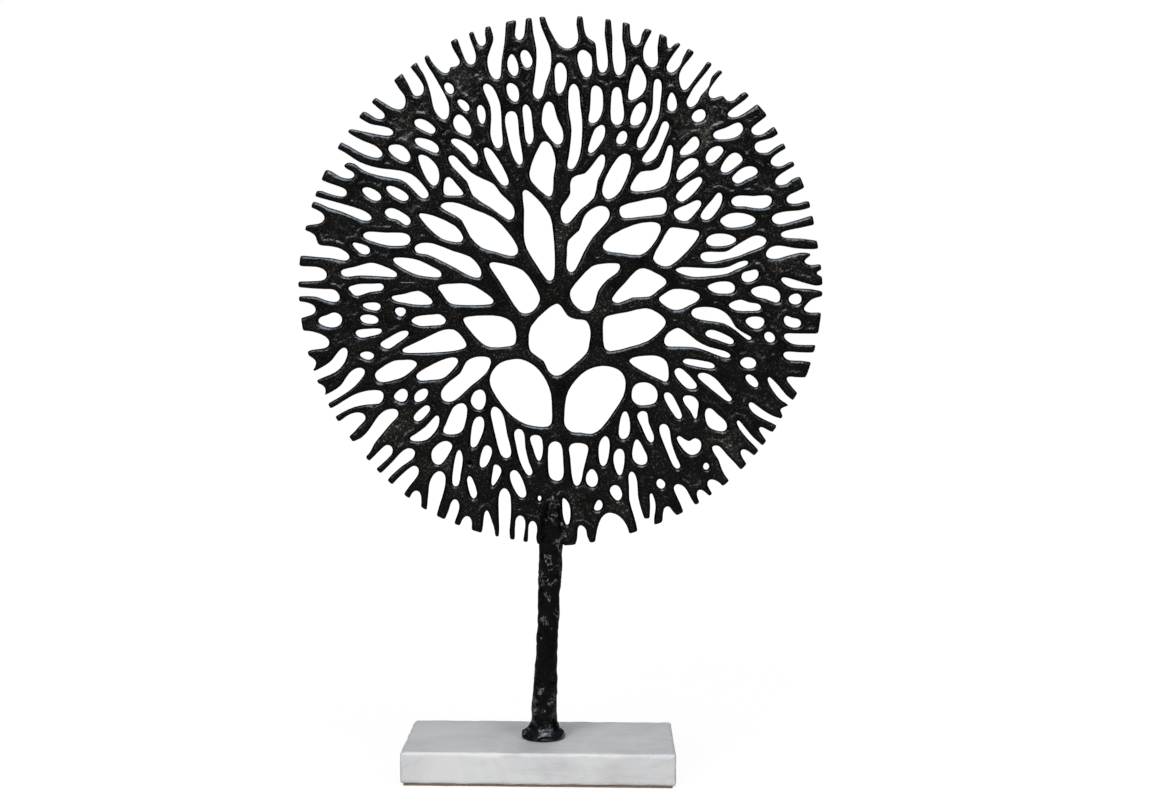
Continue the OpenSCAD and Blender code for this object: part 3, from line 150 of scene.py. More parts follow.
class Shader:
    """A material's node tree, with short names for the nodes it uses most."""

    # sockets of the Mix node that carry colours, by number, since their names repeat
    MIX_FACTOR, MIX_A, MIX_B, MIX_RESULT = 0, 6, 7, 2

    def __init__(self, name):
        self.material = bpy.data.materials.new(name)
        self.material.use_nodes = True
        self.tree = self.material.node_tree
        self.surface = self.tree.nodes["Principled BSDF"]
        self.place = self.add("ShaderNodeTexCoord").outputs["Object"]

    def add(self, kind, **inputs):
        return add_node(self.tree, kind, **inputs)

    def noise(self, scale, detail=3.0, roughness=0.5, distortion=0.0, vector=None):
        node = self.add(
            "ShaderNodeTexNoise",
            Scale=scale,
            Detail=detail,
            Roughness=roughness,
            Distortion=distortion,
            Vector=vector or self.place,
        )
        return node.outputs["Fac"]

    def cells(self, scale):
        node = self.add("ShaderNodeTexVoronoi", Scale=scale, Vector=self.place)
        return node.outputs["Distance"]

    def ramp(self, value, *stops):
        """Each stop is a place from 0 to 1 and a colour."""
        node = self.add("ShaderNodeValToRGB", Fac=value)
        while len(node.color_ramp.elements) < len(stops):
            node.color_ramp.elements.new(0.5)
        for element, (place, colour) in zip(node.color_ramp.elements, stops):
            element.position = place
            element.color = (*colour, 1)
        return node.outputs["Color"]

    def fit(self, value, low, high, out_low, out_high):
        return fit_range(self.tree, value, low, high, out_low, out_high)

    def calc(self, operation, a, b=0.0):
        node = self.add("ShaderNodeMath")
        node.operation = operation
        for socket, value in zip(node.inputs, (a, b)):
            plug(self.tree, socket, value)
        return node.outputs[0]

    def blend(self, factor, a, b):
        node = self.add("ShaderNodeMix")
        node.data_type = "RGBA"
        for number, value in ((self.MIX_FACTOR, factor), (self.MIX_A, a), (self.MIX_B, b)):
            value = (*value, 1) if isinstance(value, tuple) else value
            plug(self.tree, node.inputs[number], value)
        return node.outputs[self.MIX_RESULT]

    def bump(self, height, depth_mm, strength):
        node = self.add("ShaderNodeBump", Height=height, Strength=strength, Distance=depth_mm * MM)
        return node.outputs["Normal"]

    def attribute(self, name):
        node = self.add("ShaderNodeAttribute")
        node.attribute_name = name
        return node.outputs["Fac"]

    def finish(self, **inputs):
        feed(self.tree, self.surface, inputs)
        return self.material


BLACK_DEEP = (0.0007, 0.0007, 0.001)
BLACK_THIN = (0.0022, 0.0021, 0.002)
# brown of real wear in patches, also painted over every flat of the crown as a sheen
WORN_AND_SHEEN_BROWN = (0.0135, 0.0122, 0.0095)
# pale specks in the worn patches, painted glints on the pits
SPECK_AND_GLINT = (0.19, 0.175, 0.14)
# pale marks on the post, partly scratches and partly painted highlights on pit edges
PALE_MARK_AND_HIGHLIGHT = (0.2, 0.195, 0.18)


def black_enamel(name, on_crown):
    """Glossy black over cast metal, worn brown in patches on the crown with a painted sheen over its flats
    and painted glints, and on the post scratched bare in pale marks that are partly painted highlights on
    pit edges.
    """
    s = Shader(name)
    grain = s.noise(950, 5, 0.62)
    pits = s.fit(s.cells(430), 0.05, 0.5, 0, 1)
    broad = s.noise(55, 4, 0.55, 0.4)
    lumps = s.noise(260, 4, 0.6, 0.3)
    tint = s.ramp(s.noise(120, 3), (0.35, BLACK_DEEP), (0.62, BLACK_THIN))
    # specks: painted glints on the crown, and on the post part of the pale marks
    speck = s.fit(s.noise(750, 2, 0.6), 0.57, 0.66, 0, 1)
    if on_crown:
        # the worn attribute is real wear in the patches plus a painted sheen over every flat; the brown
        # blended in by it stands for both
        worn = s.calc("MULTIPLY", s.attribute("worn"), s.fit(broad, 0.38, 0.6, 0.15, 1))
        colour = s.blend(worn, tint, WORN_AND_SHEEN_BROWN)
        # pale specks within the worn places, painted glints
        colour = s.blend(s.calc("MULTIPLY", worn, speck), colour, SPECK_AND_GLINT)
    else:
        # thin curved lines: scratches, and painted highlights along the edges of pits
        scratch_and_highlight_line = s.calc("ABSOLUTE", s.calc("SUBTRACT", s.noise(190, 3, 0.6, 0.8), 0.5))
        scratch_and_highlight_line = s.fit(scratch_and_highlight_line, 0.008, 0.026, 1, 0)
        worn = s.fit(s.noise(125, 2, 0.5), 0.57, 0.62, 0, 1)
        mark_and_highlight = s.calc("MULTIPLY", s.calc("MAXIMUM", scratch_and_highlight_line, speck), worn)
        # the pale marks are scratches and painted highlights together
        colour = s.blend(s.calc("MULTIPLY", mark_and_highlight, 0.9), tint, PALE_MARK_AND_HIGHLIGHT)
        worn = s.calc("MULTIPLY", worn, 0.4)
    shine = s.fit(broad, 0.3, 0.7, 0.14, 0.24)
    shine = s.calc("ADD", shine, s.fit(grain, 0.3, 0.7, -0.05, 0.08))
    shine = s.calc("ADD", shine, s.calc("MULTIPLY", worn, 0.12))
    height = s.calc("ADD", s.calc("MULTIPLY", lumps, 0.8), s.calc("MULTIPLY", grain, 0.35))
    height = s.calc("ADD", height, s.calc("MULTIPLY", pits, 0.25))
    return s.finish(
        Base_Color=colour,
        Roughness=shine,
        Normal=s.bump(height, 0.6, 0.75),
        IOR=1.5,
        Specular_IOR_Level=0.4,
        Coat_Weight=0.2,
        Coat_Roughness=0.1,
    )


def marble():
    """Honed white marble: soft clouds, thin grey veins drawn out along the block, stains and specks."""
    s = Shader("white_marble_surface")
    drift = s.noise(9, 5, 0.6, 1.2)
    grey, pale, white = (0.60, 0.60, 0.615), (0.72, 0.72, 0.72), (0.78, 0.78, 0.775)
    cloud = s.ramp(drift, (0.3, grey), (0.52, pale), (0.7, white))
    stretch = s.add("ShaderNodeMapping", Vector=s.place)
    stretch.inputs["Rotation"].default_value = (0, 0, 0.25)
    stretch.inputs["Scale"].default_value = (9, 42, 30)
    vein = s.noise(1, 8, 0.62, 1.6, vector=stretch.outputs[0])
    vein = s.calc("ABSOLUTE", s.calc("SUBTRACT", vein, 0.5))
    vein = s.calc("MULTIPLY", s.fit(vein, 0, 0.05, 1, 0), s.fit(drift, 0.42, 0.6, 0.32, 0))
    colour = s.blend(vein, cloud, (0.45, 0.46, 0.485))
    stain = s.fit(s.noise(28, 3, 0.5), 0.6, 0.78, 0, 0.45)
    colour = s.blend(stain, colour, (0.66, 0.63, 0.56))
    speck = s.fit(s.noise(420, 2, 0.5), 0.71, 0.76, 0, 0.5)
    colour = s.blend(speck, colour, (0.4, 0.38, 0.36))
    grain = s.noise(600, 4, 0.6)
    return s.finish(
        Base_Color=colour,
        Roughness=s.fit(grain, 0.3, 0.7, 0.42, 0.6),
        Normal=s.bump(s.calc("ADD", grain, s.noise(90, 3)), 0.12, 0.45),
        Subsurface_Weight=0.12,
        Subsurface_Scale=0.004,
    )


def felt():
    """Matted brown felt."""
    s = Shader("brown_felt_cloth")
    matted = s.noise(700, 6, 0.7, 0.8)
    colour = s.ramp(matted, (0.3, (0.13, 0.08, 0.05)), (0.7, (0.36, 0.245, 0.165)))
    return s.finish(
        Base_Color=colour,
        Roughness=0.95,
        Sheen_Weight=0.4,
        Normal=s.bump(matted, 0.5, 0.9),
    )


def plated_steel():
    """Dull zinc plating, a little patchy."""
    s = Shader("zinc_plated_steel")
    grain = s.noise(800, 4, 0.6)
    patch = s.noise(160, 3, 0.5)
    colour = s.ramp(patch, (0.3, (0.50, 0.51, 0.53)), (0.7, (0.68, 0.68, 0.67)))
    return s.finish(
        Base_Color=colour,
        Metallic=1.0,
        Roughness=s.fit(patch, 0.3, 0.7, 0.26, 0.44),
        Normal=s.bump(grain, 0.04, 0.5),
    )


ENAMEL_CROWN = black_enamel("black_enamel_crown", True)
ENAMEL_POST = black_enamel("black_enamel_post", False)
MARBLE = marble()
FELT = felt()
STEEL = plated_steel()


# ---------------------------------------------------------------- crown


FLAT = 0.01  # how far a point of the front face may lie from its plane


def outline_segments(node):
    """Edges of a plate's front face, as pairs of (x, z) points."""
    mesh = node.data
    co = np.zeros(len(mesh.vertices) * 3)
    mesh.vertices.foreach_get("co", co)
    co = co.reshape(-1, 3) / MM
    mesh.calc_loop_triangles()
    tris = np.zeros(len(mesh.loop_triangles) * 3, int)
    mesh.loop_triangles.foreach_get("vertices", tris)
    co, same = np.unique(np.round(co, 3), axis=0, return_inverse=True)
    tris = same.ravel()[tris].reshape(-1, 3)
    front = tris[(co[tris][:, :, 1] < co[:, 1].min() + FLAT).all(1)]
    edges = np.sort(np.concatenate([front[:, [0, 1]], front[:, [1, 2]], front[:, [2, 0]]]), axis=1)
    edges, count = np.unique(edges, axis=0, return_counts=True)
    edges = edges[count == 1]
    return co[edges[:, 0]][:, [0, 2]], co[edges[:, 1]][:, [0, 2]]


STEP = 0.4  # cell of the grid of depths
REACH = 7.5  # the greatest depth that the grid tells apart
GRID_MARGIN = 6  # room round the outline
GRID_BLUR = 0.6  # softens the ridges where two edges are equally near
LATTICE = 0.65  # cell of the crown's mesh
LATTICE_MARGIN = 2
SNAP = 0.36  # share of a cell within which a point moves onto the outline
PROBE = 0.2  # step for the slope of the depth
SLOPE_PROBE = 0.3  # step for the slope of the cast face
RIM_DEPTH = 0.05  # points this close to the outline have the rim's normals
RIM_TURN = 2.5  # how much those are turned outwards


def depth_grid(start, end):
    """Distance in from the outline on a grid, negative outside, with its lowest corner."""
    low = np.minimum(start, end).min(0) - GRID_MARGIN
    high = np.maximum(start, end).max(0) + GRID_MARGIN
    nx, nz = np.ceil((high - low) / STEP).astype(int)
    xs, zs = low[0] + STEP * np.arange(nx), low[1] + STEP * np.arange(nz)
    grid = np.full((nz, nx), REACH**2)
    for a, b in zip(start, end):
        box_low = np.minimum(a, b) - REACH
        box_high = np.maximum(a, b) + REACH
        i0, i1 = np.searchsorted(xs, [box_low[0], box_high[0]])
        j0, j1 = np.searchsorted(zs, [box_low[1], box_high[1]])
        x, z = np.meshgrid(xs[i0:i1] - a[0], zs[j0:j1] - a[1])
        way = b - a
        along = np.clip((x * way[0] + z * way[1]) / max(way @ way, 1e-9), 0, 1)
        gap = (x - along * way[0]) ** 2 + (z - along * way[1]) ** 2
        grid[j0:j1, i0:i1] = np.minimum(grid[j0:j1, i0:i1], gap)
    depth = np.sqrt(grid)
    # a row is inside where an odd number of edges lie to its left; it is lifted a hair off the corners
    for j, z in enumerate(zs + 1e-4):
        crossing = (start[:, 1] > z) != (end[:, 1] > z)
        a, b = start[crossing], end[crossing]
        at = np.sort(a[:, 0] + (z - a[:, 1]) / (b[:, 1] - a[:, 1]) * (b[:, 0] - a[:, 0]))
        outside = np.searchsorted(at, xs) % 2 == 0
        depth[j, outside] *= -1
    return blur(depth, GRID_BLUR / STEP), low


def sample(grid, low, x, z):
    """The grid's value at each point, blended from the four cells round it."""
    u, v = (x - low[0]) / STEP, (z - low[1]) / STEP
    i = np.clip(np.floor(u).astype(int), 0, grid.shape[1] - 2)
    j = np.clip(np.floor(v).astype(int), 0, grid.shape[0] - 2)
    u, v = u - i, v - j
    return (
        grid[j, i] * (1 - u) * (1 - v)
        + grid[j, i + 1] * u * (1 - v)
        + grid[j + 1, i] * (1 - u) * v
        + grid[j + 1, i + 1] * u * v
    )


# rough, pale-worn places on the crown: across, up from its centre, and how far they reach
WORN = [
    (-60, 120, 12), (-100, 95, 13), (85, 95, 14), (140, 8, 12), (15, -142, 9), (-105, -93, 12),
    (107, -102, 14), (-70, -115, 10), (45, -135, 10), (-2, 28, 10), (38, -22, 12), (-28, -52, 9),
]


def worn_places(x, z, centre):
    """How worn each point is, from 0 to 1."""
    worn = np.zeros_like(x)
    for across, up, reach in WORN:
        gap = ((x - centre[0] - across) ** 2 + (z - centre[1] - up) ** 2) / reach**2
        worn = np.maximum(worn, np.exp(-gap))
    return worn


ROUND_OVER, ROUND_VARIES = 2.5, 0.9  # width of a bar's rounded edge
OUTER_FROM, OUTER_OVER = 60, 60  # radii where the face turns from smooth to uneven
WEB_FROM, WEB_OVER = 2.6, 2.4  # depths where the webs between openings begin to sink


def relief(depth, x, z, centre, half, seed):
    """Height of the cast face above the plate's middle plane."""
    t = np.clip(depth / (ROUND_OVER + ROUND_VARIES * noise(x / 6, z / 6, seed + 6)), 0, 1)
    bevel = np.sqrt(np.clip(1 - (1 - t) ** 2, 0, 1))
    dx, dz = x - centre[0], z - centre[1]
    radius, angle = np.hypot(dx, dz), np.arctan2(dz, dx)
    outer = np.clip((radius - OUTER_FROM) / OUTER_OVER, 0, 1)
    web = np.clip((depth - WEB_FROM) / WEB_OVER, 0, 1)
    web = web * web * (3 - 2 * web)
    flow = noise(angle * 32, radius / 16, seed + 1)
    rough = noise(x / 2.6, z / 2.6, seed + 2) + 0.6 * noise(x / 1.4, z / 1.4, seed + 3)
    broad = noise(x / 9, z / 9, seed + 4)
    dip = web * (0.16 + outer * (0.42 + 0.40 * broad)) * half / 3
    bumps = 0.16 * broad + 0.12 * rough + (0.25 + 0.75 * outer) * 0.40 * flow * np.clip(depth / 2.5, 0, 1)
    bumps = bumps + 0.14 * rough * np.maximum(web * outer, worn_places(x, z, centre))
    pit = np.clip(noise(x / 2.3, z / 2.3, seed + 5) - 0.5, 0, 1)
    bumps = bumps - 0.9 * pit * web - dip
    height = 0.14 * half + 0.77 * half * bevel + 0.04 * half * np.clip(depth / 4, 0, 1) + bumps * t
    return np.clip(height, 0.13 * half, 0.995 * half)


def crown_mesh():
    """The cast crown: a lattice cut along the plate's outline, with a relief on both faces."""
    low_corner, high_corner = node_box("crown")
    half = (high_corner[1] - low_corner[1]) / 2
    middle = (high_corner[1] + low_corner[1]) / 2
    start, end = outline_segments(NODES["crown"])
    depth, low = depth_grid(start, end)
    centre = ((low_corner + high_corner) / 2)[[0, 2]]

    # a lattice, whose points close to the outline are moved onto it
    nx = int((high_corner[0] - low_corner[0] + 2 * LATTICE_MARGIN) / LATTICE)
    nz = int((high_corner[2] - low_corner[2] + 2 * LATTICE_MARGIN) / LATTICE)
    x, z = np.meshgrid(
        low_corner[0] - LATTICE_MARGIN + LATTICE * np.arange(nx),
        low_corner[2] - LATTICE_MARGIN + LATTICE * np.arange(nz),
    )
    x, z = x.ravel(), z.ravel()
    dx = sample(depth, low, x + PROBE, z) - sample(depth, low, x - PROBE, z)
    dz = sample(depth, low, x, z + PROBE) - sample(depth, low, x, z - PROBE)
    size = np.maximum(np.hypot(dx, dz), 1e-6)
    d = sample(depth, low, x, z)
    near = np.abs(d) < SNAP * LATTICE
    x = np.where(near, x - d * dx / size, x)
    z = np.where(near, z - d * dz / size, z)
    d = np.where(near, 0.0, d)
    inside = d >= 0

    ids = np.arange(nx * nz).reshape(nz, nx)
    a, b, c, e = ids[:-1, :-1], ids[:-1, 1:], ids[1:, 1:], ids[1:, :-1]
    quads = np.stack([q.ravel() for q in (a, b, c, e)], 1)
    whole = inside[quads].all(1)
    part = inside[quads].any(1) & ~whole
    tris = np.concatenate([quads[part][:, [0, 1, 2]], quads[part][:, [0, 2, 3]]])
    count = inside[tris].sum(1)

    # the triangles that the outline crosses are cut along it
    faces = [list(q) for q in quads[whole]] + [list(t) for t in tris[count == 3]]
    extra, extra_x, extra_z = {}, [], []

    def cross(i, j):
        """The point where the outline crosses an edge, made once."""
        key = (i, j) if i < j else (j, i)
        if key not in extra:
            s = d[i] / (d[i] - d[j])
            extra[key] = len(x) + len(extra)
            extra_x.append(x[i] + s * (x[j] - x[i]))
            extra_z.append(z[i] + s * (z[j] - z[i]))
        return extra[key]

    for t in tris[(count == 1) | (count == 2)].tolist():
        flags = [bool(inside[i]) for i in t]
        if sum(flags) == 1:
            k = flags.index(True)
            p, q, r = t[k], t[(k + 1) % 3], t[(k + 2) % 3]
            if d[p] > 0:
                faces.append([p, cross(p, q), cross(p, r)])
        else:
            k = flags.index(False)
            p, q, r = t[k], t[(k + 1) % 3], t[(k + 2) % 3]
            if d[q] > 0 and d[r] > 0:
                faces.append([q, r, cross(r, p)])
                faces.append([q, cross(r, p), cross(q, p)])
            elif d[q] > 0:
                faces.append([q, r, cross(q, p)])
            elif d[r] > 0:
                faces.append([q, r, cross(r, p)])
    x = np.concatenate([x, extra_x])
    z = np.concatenate([z, extra_z])
    d = np.concatenate([d, np.zeros(len(extra_x))])
    used = np.unique(np.concatenate([np.array(f) for f in faces]))
    new = np.full(len(x), -1)
    new[used] = np.arange(len(used))
    x, z, d = x[used], z[used], d[used]
    faces = [[int(new[i]) for i in f] for f in faces]

    def face(seed):
        """Heights and outward normals of one face, as if it looked towards +Y."""
        slope = []
        for du, dv in ((SLOPE_PROBE, 0), (0, SLOPE_PROBE)):
            ends = [
                relief(
                    np.maximum(sample(depth, low, x + k * du, z + k * dv), 0),
                    x + k * du, z + k * dv, centre, half, seed,
                )
                for k in (-1, 1)
            ]
            slope.append((ends[1] - ends[0]) / (2 * SLOPE_PROBE))
        steep = np.where(d < RIM_DEPTH, RIM_TURN, 1.0)
        normal = np.stack([-slope[0] * steep, np.ones(len(x)), -slope[1] * steep], 1)
        return relief(d, x, z, centre, half, seed), normal / np.linalg.norm(normal, axis=1)[:, None]

    front, front_normal = face(10)
    back, back_normal = face(40)
    front = middle - front
    back = middle + back
    front_normal[:, 1] *= -1
    n = len(x)
    points = np.concatenate([np.stack([x, front, z], 1), np.stack([x, back, z], 1)])
    edges = dict.fromkeys((i, j) for f in faces for i, j in zip(f, f[1:] + f[:1]))
    rim = [(i, j) for (i, j) in edges if (j, i) not in edges]
    all_faces = faces + [[i + n for i in reversed(f)] for f in faces]
    all_faces += [[j, i, i + n, j + n] for i, j in rim]
    obj = piece("crown_casting", points, all_faces, ENAMEL_CROWN, ["crown"])
    obj.data.normals_split_custom_set_from_vertices(np.concatenate([front_normal, back_normal]))
    # the flats get a painted sheen everywhere and real wear in the patches, the rounded edges neither, so
    # they stay black
    worn = (0.22 + 0.78 * worn_places(x, z, centre)) * np.clip((d - 1.2) / 0.9, 0, 1)
    layer = obj.data.attributes.new("worn", "FLOAT", "POINT")
    layer.data.foreach_set("value", np.concatenate([worn, worn]).astype(np.float32))


crown_mesh()


# ---------------------------------------------------------------- post and welds

stem_low, stem_high = node_box("stem")
BLOCK_TOP = stem_low[2]
stud_low, stud_high = node_box("threaded_stud")
AXIS = (stud_low[0] + stud_high[0]) / 2
LEAN = math.radians(1.9)  # of the post, to the right
FOOT_RADIUS = 14.0
POST = [  # height above the block, radius
    (0, 13.4), (0.4, 13.8), (1.2, 14), (2.5, 13.9), (3.3, 13.3), (4, 12.2), (4.8, 11.2), (6, 10.3),
    (7.5, 9.4), (10, 8.7), (14, 8.1), (26, 7.6), (38, 7.2), (50, 6.9), (62, 6.7), (90, 6.8), (113, 7.4),
    (125, 7.5), (135, 7.3), (142, 6.4), (148, 5.2), (152.5, 3.7), (155, 2.1), (156, 0.15),
]
POST_Z, POST_R = np.array(POST, float).T


def post_radius(height):
    return np.interp(height, POST_Z, POST_R)


def post_mesh():
    """The hammered post, with its lumpy foot and the hole for the stud."""
    around = 96
    angle = np.linspace(0, 2 * math.pi, around, endpoint=False)
    heights = np.concatenate([np.arange(0, 5, 0.4), np.arange(5, POST_Z[-1], 0.65), [POST_Z[-1]]])
    # the stud's hole as heights and radii, from its blind end out to the foot's underside
    hole = [(25.0, 0.1), (25.0, 4.05), (0.6, 4.05), (0.0, 4.6), (0.0, 9.0)]
    rows_z = np.concatenate([[h for h, _ in hole], heights])
    rows_r = np.concatenate([[r for _, r in hole], post_radius(heights)])
    # soften the corners of the listed profile, between the foot's lip and the head's tip
    first = len(hole)
    start, stop = first + 9, len(rows_r) - 8
    for _ in range(3):
        before, after = rows_r[start - 1 : stop - 1], rows_r[start + 1 : stop + 1]
        rows_r[start:stop] = (before + 2 * rows_r[start:stop] + after) / 4
    z, a = np.meshgrid(rows_z, angle, indexing="ij")
    r = np.repeat(rows_r[:, None], around, 1)
    turn = a / (2 * math.pi)
    dents = (
        0.45 * noise(z / 9.0, turn * 6, 3, 6)
        + 0.30 * noise(z / 4.2, turn * 11, 4, 11)
        + 0.13 * noise(z / 2.0, turn * 24, 5, 24)
        - 0.9 * np.clip(noise(z / 2.6, turn * 17, 6, 17) - 0.55, 0, 1)
    )
    # the dents fade out at the block and at the tip, and are deeper on the foot
    weight = np.zeros(len(rows_z))
    up, down = rows_z[first:], POST_Z[-1] - rows_z[first:]
    weight[first:] = np.clip(up / 1.5, 0, 1) * np.clip(down / 6, 0, 1)
    foot = 1 + 1.5 * np.exp(-((z / 7) ** 2))
    r = r + dents * foot * weight[:, None]
    rim = np.exp(-(((z - 2) / 2.2) ** 2)) * weight[:, None]
    r = np.minimum(r + 1.3 * noise(z / 2.4, turn * 13, 7, 13) * rim, FOOT_RADIUS)
    x = AXIS + r * np.cos(a) + np.clip(z, 0, None) * math.tan(LEAN)
    y = r * np.sin(a)
    points = np.stack([x.ravel(), y.ravel(), z.ravel() + BLOCK_TOP], 1)
    faces = ring_faces(len(rows_z), around) + end_caps(len(rows_z), around)
    return piece("post_casting", points, faces, ENAMEL_POST, ["stem"])


def tube(path, radii, seed):
    """A lumpy tube round a path that lies flat to one face, closed at both ends."""
    sides = 12
    path = np.asarray(path, float)
    way = np.gradient(path, axis=0)
    way /= np.linalg.norm(way, axis=1)[:, None]
    out = np.array([0, 1, 0])
    across = np.cross(way, out)
    a = np.linspace(0, 2 * math.pi, sides, endpoint=False)
    n = len(path)
    u, v = np.meshgrid(np.arange(n), a, indexing="ij")
    r = np.asarray(radii)[:, None] * (
        1 + 0.22 * noise(u / 3.0, v / 1.6, seed) + 0.12 * noise(u / 1.3, v / 0.8, seed + 1)
    )
    points = (
        path[:, None, :]
        + (r * np.cos(v))[..., None] * across[:, None, :]
        + (r * np.sin(v))[..., None] * out
    )
    return points.reshape(-1, 3), ring_faces(n, sides) + end_caps(n, sides)


def tapered(count, radius, over, least):
    """Radii along a run of points, drawn in over a few points at each end."""
    k = np.arange(count)
    return radius * np.clip(np.minimum(k + 1, count - k) / over, least, 1)


BEAD_FROM, BEAD_TO = 126, 151.5  # heights above the block
BEAD_POINTS = 44  # up one side of the head
BEAD_OUT = 2.9  # of the bead's middle from the crown's middle plane
CHORD_OUT = 2.6  # how far from that plane the head's width is taken


def weld_bead(name, side, replaced):
    """A lumpy bead up one side of the head, over its tip and down the other, on one face of the crown."""
    rise = np.linspace(BEAD_FROM, BEAD_TO, BEAD_POINTS)
    fall = np.linspace(BEAD_TO, BEAD_FROM, BEAD_POINTS)[1:]
    heights = np.concatenate([rise, fall])
    reach = np.sqrt(np.clip(post_radius(heights) ** 2 - CHORD_OUT**2, 0.4, None))
    sign = np.concatenate([-np.ones(len(rise)), np.ones(len(fall))])
    x = AXIS + heights * math.tan(LEAN) + sign * reach
    y = np.full(len(x), side * BEAD_OUT)
    radii = tapered(len(x), 0.95, 6, 0.2)
    points, faces = tube(np.stack([x, y, heights + BLOCK_TOP], 1), radii, 31 + side)
    return piece(name, points, faces, ENAMEL_POST, replaced)


post_mesh()
weld_bead("weld_bead_front", -1, ["weld_beads"])
weld_bead("weld_bead_back", 1, ["weld_beads"])


RIDGE_OUT = 2.35  # of a ridge's middle from the crown's middle plane


def ridge(name, side, route, radius):
    """A raised run of metal on one face of the crown, through points about its centre."""
    low, high = node_box("crown")
    route = np.array(route, float)
    t = np.arange(len(route))
    fine = np.linspace(0, len(route) - 1, 40)
    curve = np.stack([np.interp(fine, t, route[:, k]) for k in (0, 1)], 1)
    for _ in range(6):
        curve[1:-1] = (curve[:-2] + 2 * curve[1:-1] + curve[2:]) / 4
    x = (low[0] + high[0]) / 2 + curve[:, 0]
    z = (low[2] + high[2]) / 2 + curve[:, 1]
    y = np.full(len(x), side * RIDGE_OUT)
    points, faces = tube(np.stack([x, y, z], 1), tapered(len(x), radius, 7, 0.15), 50 + side)
    return piece(name, points, faces, ENAMEL_POST)


ridge("ridge_long_front", -1, [(-3, -136), (-1.5, -142), (1.5, -150), (4, -158), (5.5, -162)], 0.95)
ridge("ridge_hook_front", -1, [(-9, -135), (-7.4, -140), (-8.6, -145.5), (-12, -143), (-13.4, -138)], 0.85)
ridge("ridge_long_back", 1, [(-2, -137), (0.5, -143), (2.5, -151), (6, -158)], 0.95)


# ---------------------------------------------------------------- block and felt


def block(name, low, high, edge, spacing, material, replaced, seed, wear, ripple):
    """A slab with eased edges: wear says how chipped they are, ripple how uneven the faces are."""
    low, high = np.array(low, float), np.array(high, float)

    def ticks(axis):
        """Places of the grid lines along an axis, closer together near the edges."""
        near = np.array([0, 0.12, 0.28, 0.5, 0.8, 1.2]) * edge * 1.9
        a, b = low[axis], high[axis]
        inner = np.linspace(a + near[-1], b - near[-1], max(2, int((b - a) / spacing)))
        return np.concatenate([a + near[:-1], inner, (b - near[:-1])[::-1]])

    points, faces, index = [], [], {}

    def add(p):
        key = tuple(np.round(p, 4))
        if key not in index:
            index[key] = len(points)
            points.append(p)
        return index[key]

    for axis in range(3):
        i, j = [k for k in range(3) if k != axis]
        us, vs = ticks(i), ticks(j)
        for end, value in ((0, low[axis]), (1, high[axis])):
            grid = np.zeros((len(us), len(vs)), int)
            for m, u in enumerate(us):
                for n, v in enumerate(vs):
                    p = [0.0, 0.0, 0.0]
                    p[axis], p[i], p[j] = value, u, v
                    grid[m, n] = add(p)
            flip = (end == 0) == (axis != 1)
            for m in range(len(us) - 1):
                for n in range(len(vs) - 1):
                    f = [grid[m, n], grid[m + 1, n], grid[m + 1, n + 1], grid[m, n + 1]]
                    faces.append(f[::-1] if flip else f)
    p = np.array(points)
    along = p[:, 0] + 1.7 * p[:, 1] + 0.9 * p[:, 2]
    slow = noise(along / 9, p[:, 2] / 7, seed)
    quick = noise(along / 2.5, p[:, 1] / 9, seed + 1)
    r = edge * (1 + 0.30 * slow + 0.25 * quick)
    chips = np.clip(noise(along / 4, (p[:, 2] + p[:, 1]) / 11, seed + 2) - 0.62, 0, 1) * wear
    r = np.maximum(r + chips * edge * 3, edge * 0.35)[:, None]
    core = np.clip(p, low + r, high - r)
    way = p - core
    length = np.maximum(np.linalg.norm(way, axis=1)[:, None], 1e-6)
    normal = way / length
    p = core + normal * np.minimum(r, length)
    swell = noise(p[:, 0] / 22, p[:, 1] / 22, seed + 4) * 0.6
    swell = swell + noise(p[:, 0] / 6, (p[:, 1] + p[:, 2]) / 6, seed + 5) * 0.4
    p = p - normal * (ripple * (1 + swell) / 2)[:, None]
    return piece(name, p, faces, material, replaced)


def hollow(obj, parts):
    """Cuts upright round holes on the stud's axis, each (radius, low z, high z)."""
    around = 64
    for radius, z0, z1 in parts:
        a = np.linspace(0, 2 * math.pi, around, endpoint=False)
        ring = np.stack([AXIS + radius * np.cos(a), radius * np.sin(a)], 1)
        points = [(x, y, z) for z in (z0, z1) for x, y in ring]
        faces = ring_faces(2, around) + end_caps(2, around)
        mesh = bpy.data.meshes.new("cutter")
        mesh.from_pydata((np.array(points) * MM).tolist(), [], faces)
        cutter = bpy.data.objects.new("cutter", mesh)
        bpy.context.scene.collection.objects.link(cutter)
        cut = obj.modifiers.new("cut", "BOOLEAN")
        cut.object, cut.operation, cut.solver = cutter, "DIFFERENCE", "EXACT"
        bpy.context.view_layer.update()
        done = bpy.data.meshes.new_from_object(
            obj.evaluated_get(bpy.context.evaluated_depsgraph_get())
        )
        obj.modifiers.clear()
        obj.data = done
        bpy.data.objects.remove(cutter)


RECESS_RADIUS, RECESS_DEPTH = 13, 11
PASSAGE_RADIUS = 4.5

base_low, base_high = node_box("marble_base")
below, above = base_low[2] - 1, base_high[2] + 1
stone = block(
    "marble_block", base_low, base_high, edge=2.1, spacing=1.6, material=MARBLE,
    replaced=["marble_base"], seed=60, wear=1.0, ripple=0.25,
)
hollow(
    stone,
    [(RECESS_RADIUS, below, base_low[2] + RECESS_DEPTH), (PASSAGE_RADIUS, below, above)],
)
felt_low, felt_high = node_box("felt_sheet")
pad = block(
    "felt_underside", felt_low, felt_high, edge=0.55, spacing=1.2, material=FELT,
    replaced=["felt_sheet"], seed=80, wear=0.2, ripple=0.12,
)


# ---------------------------------------------------------------- fixings


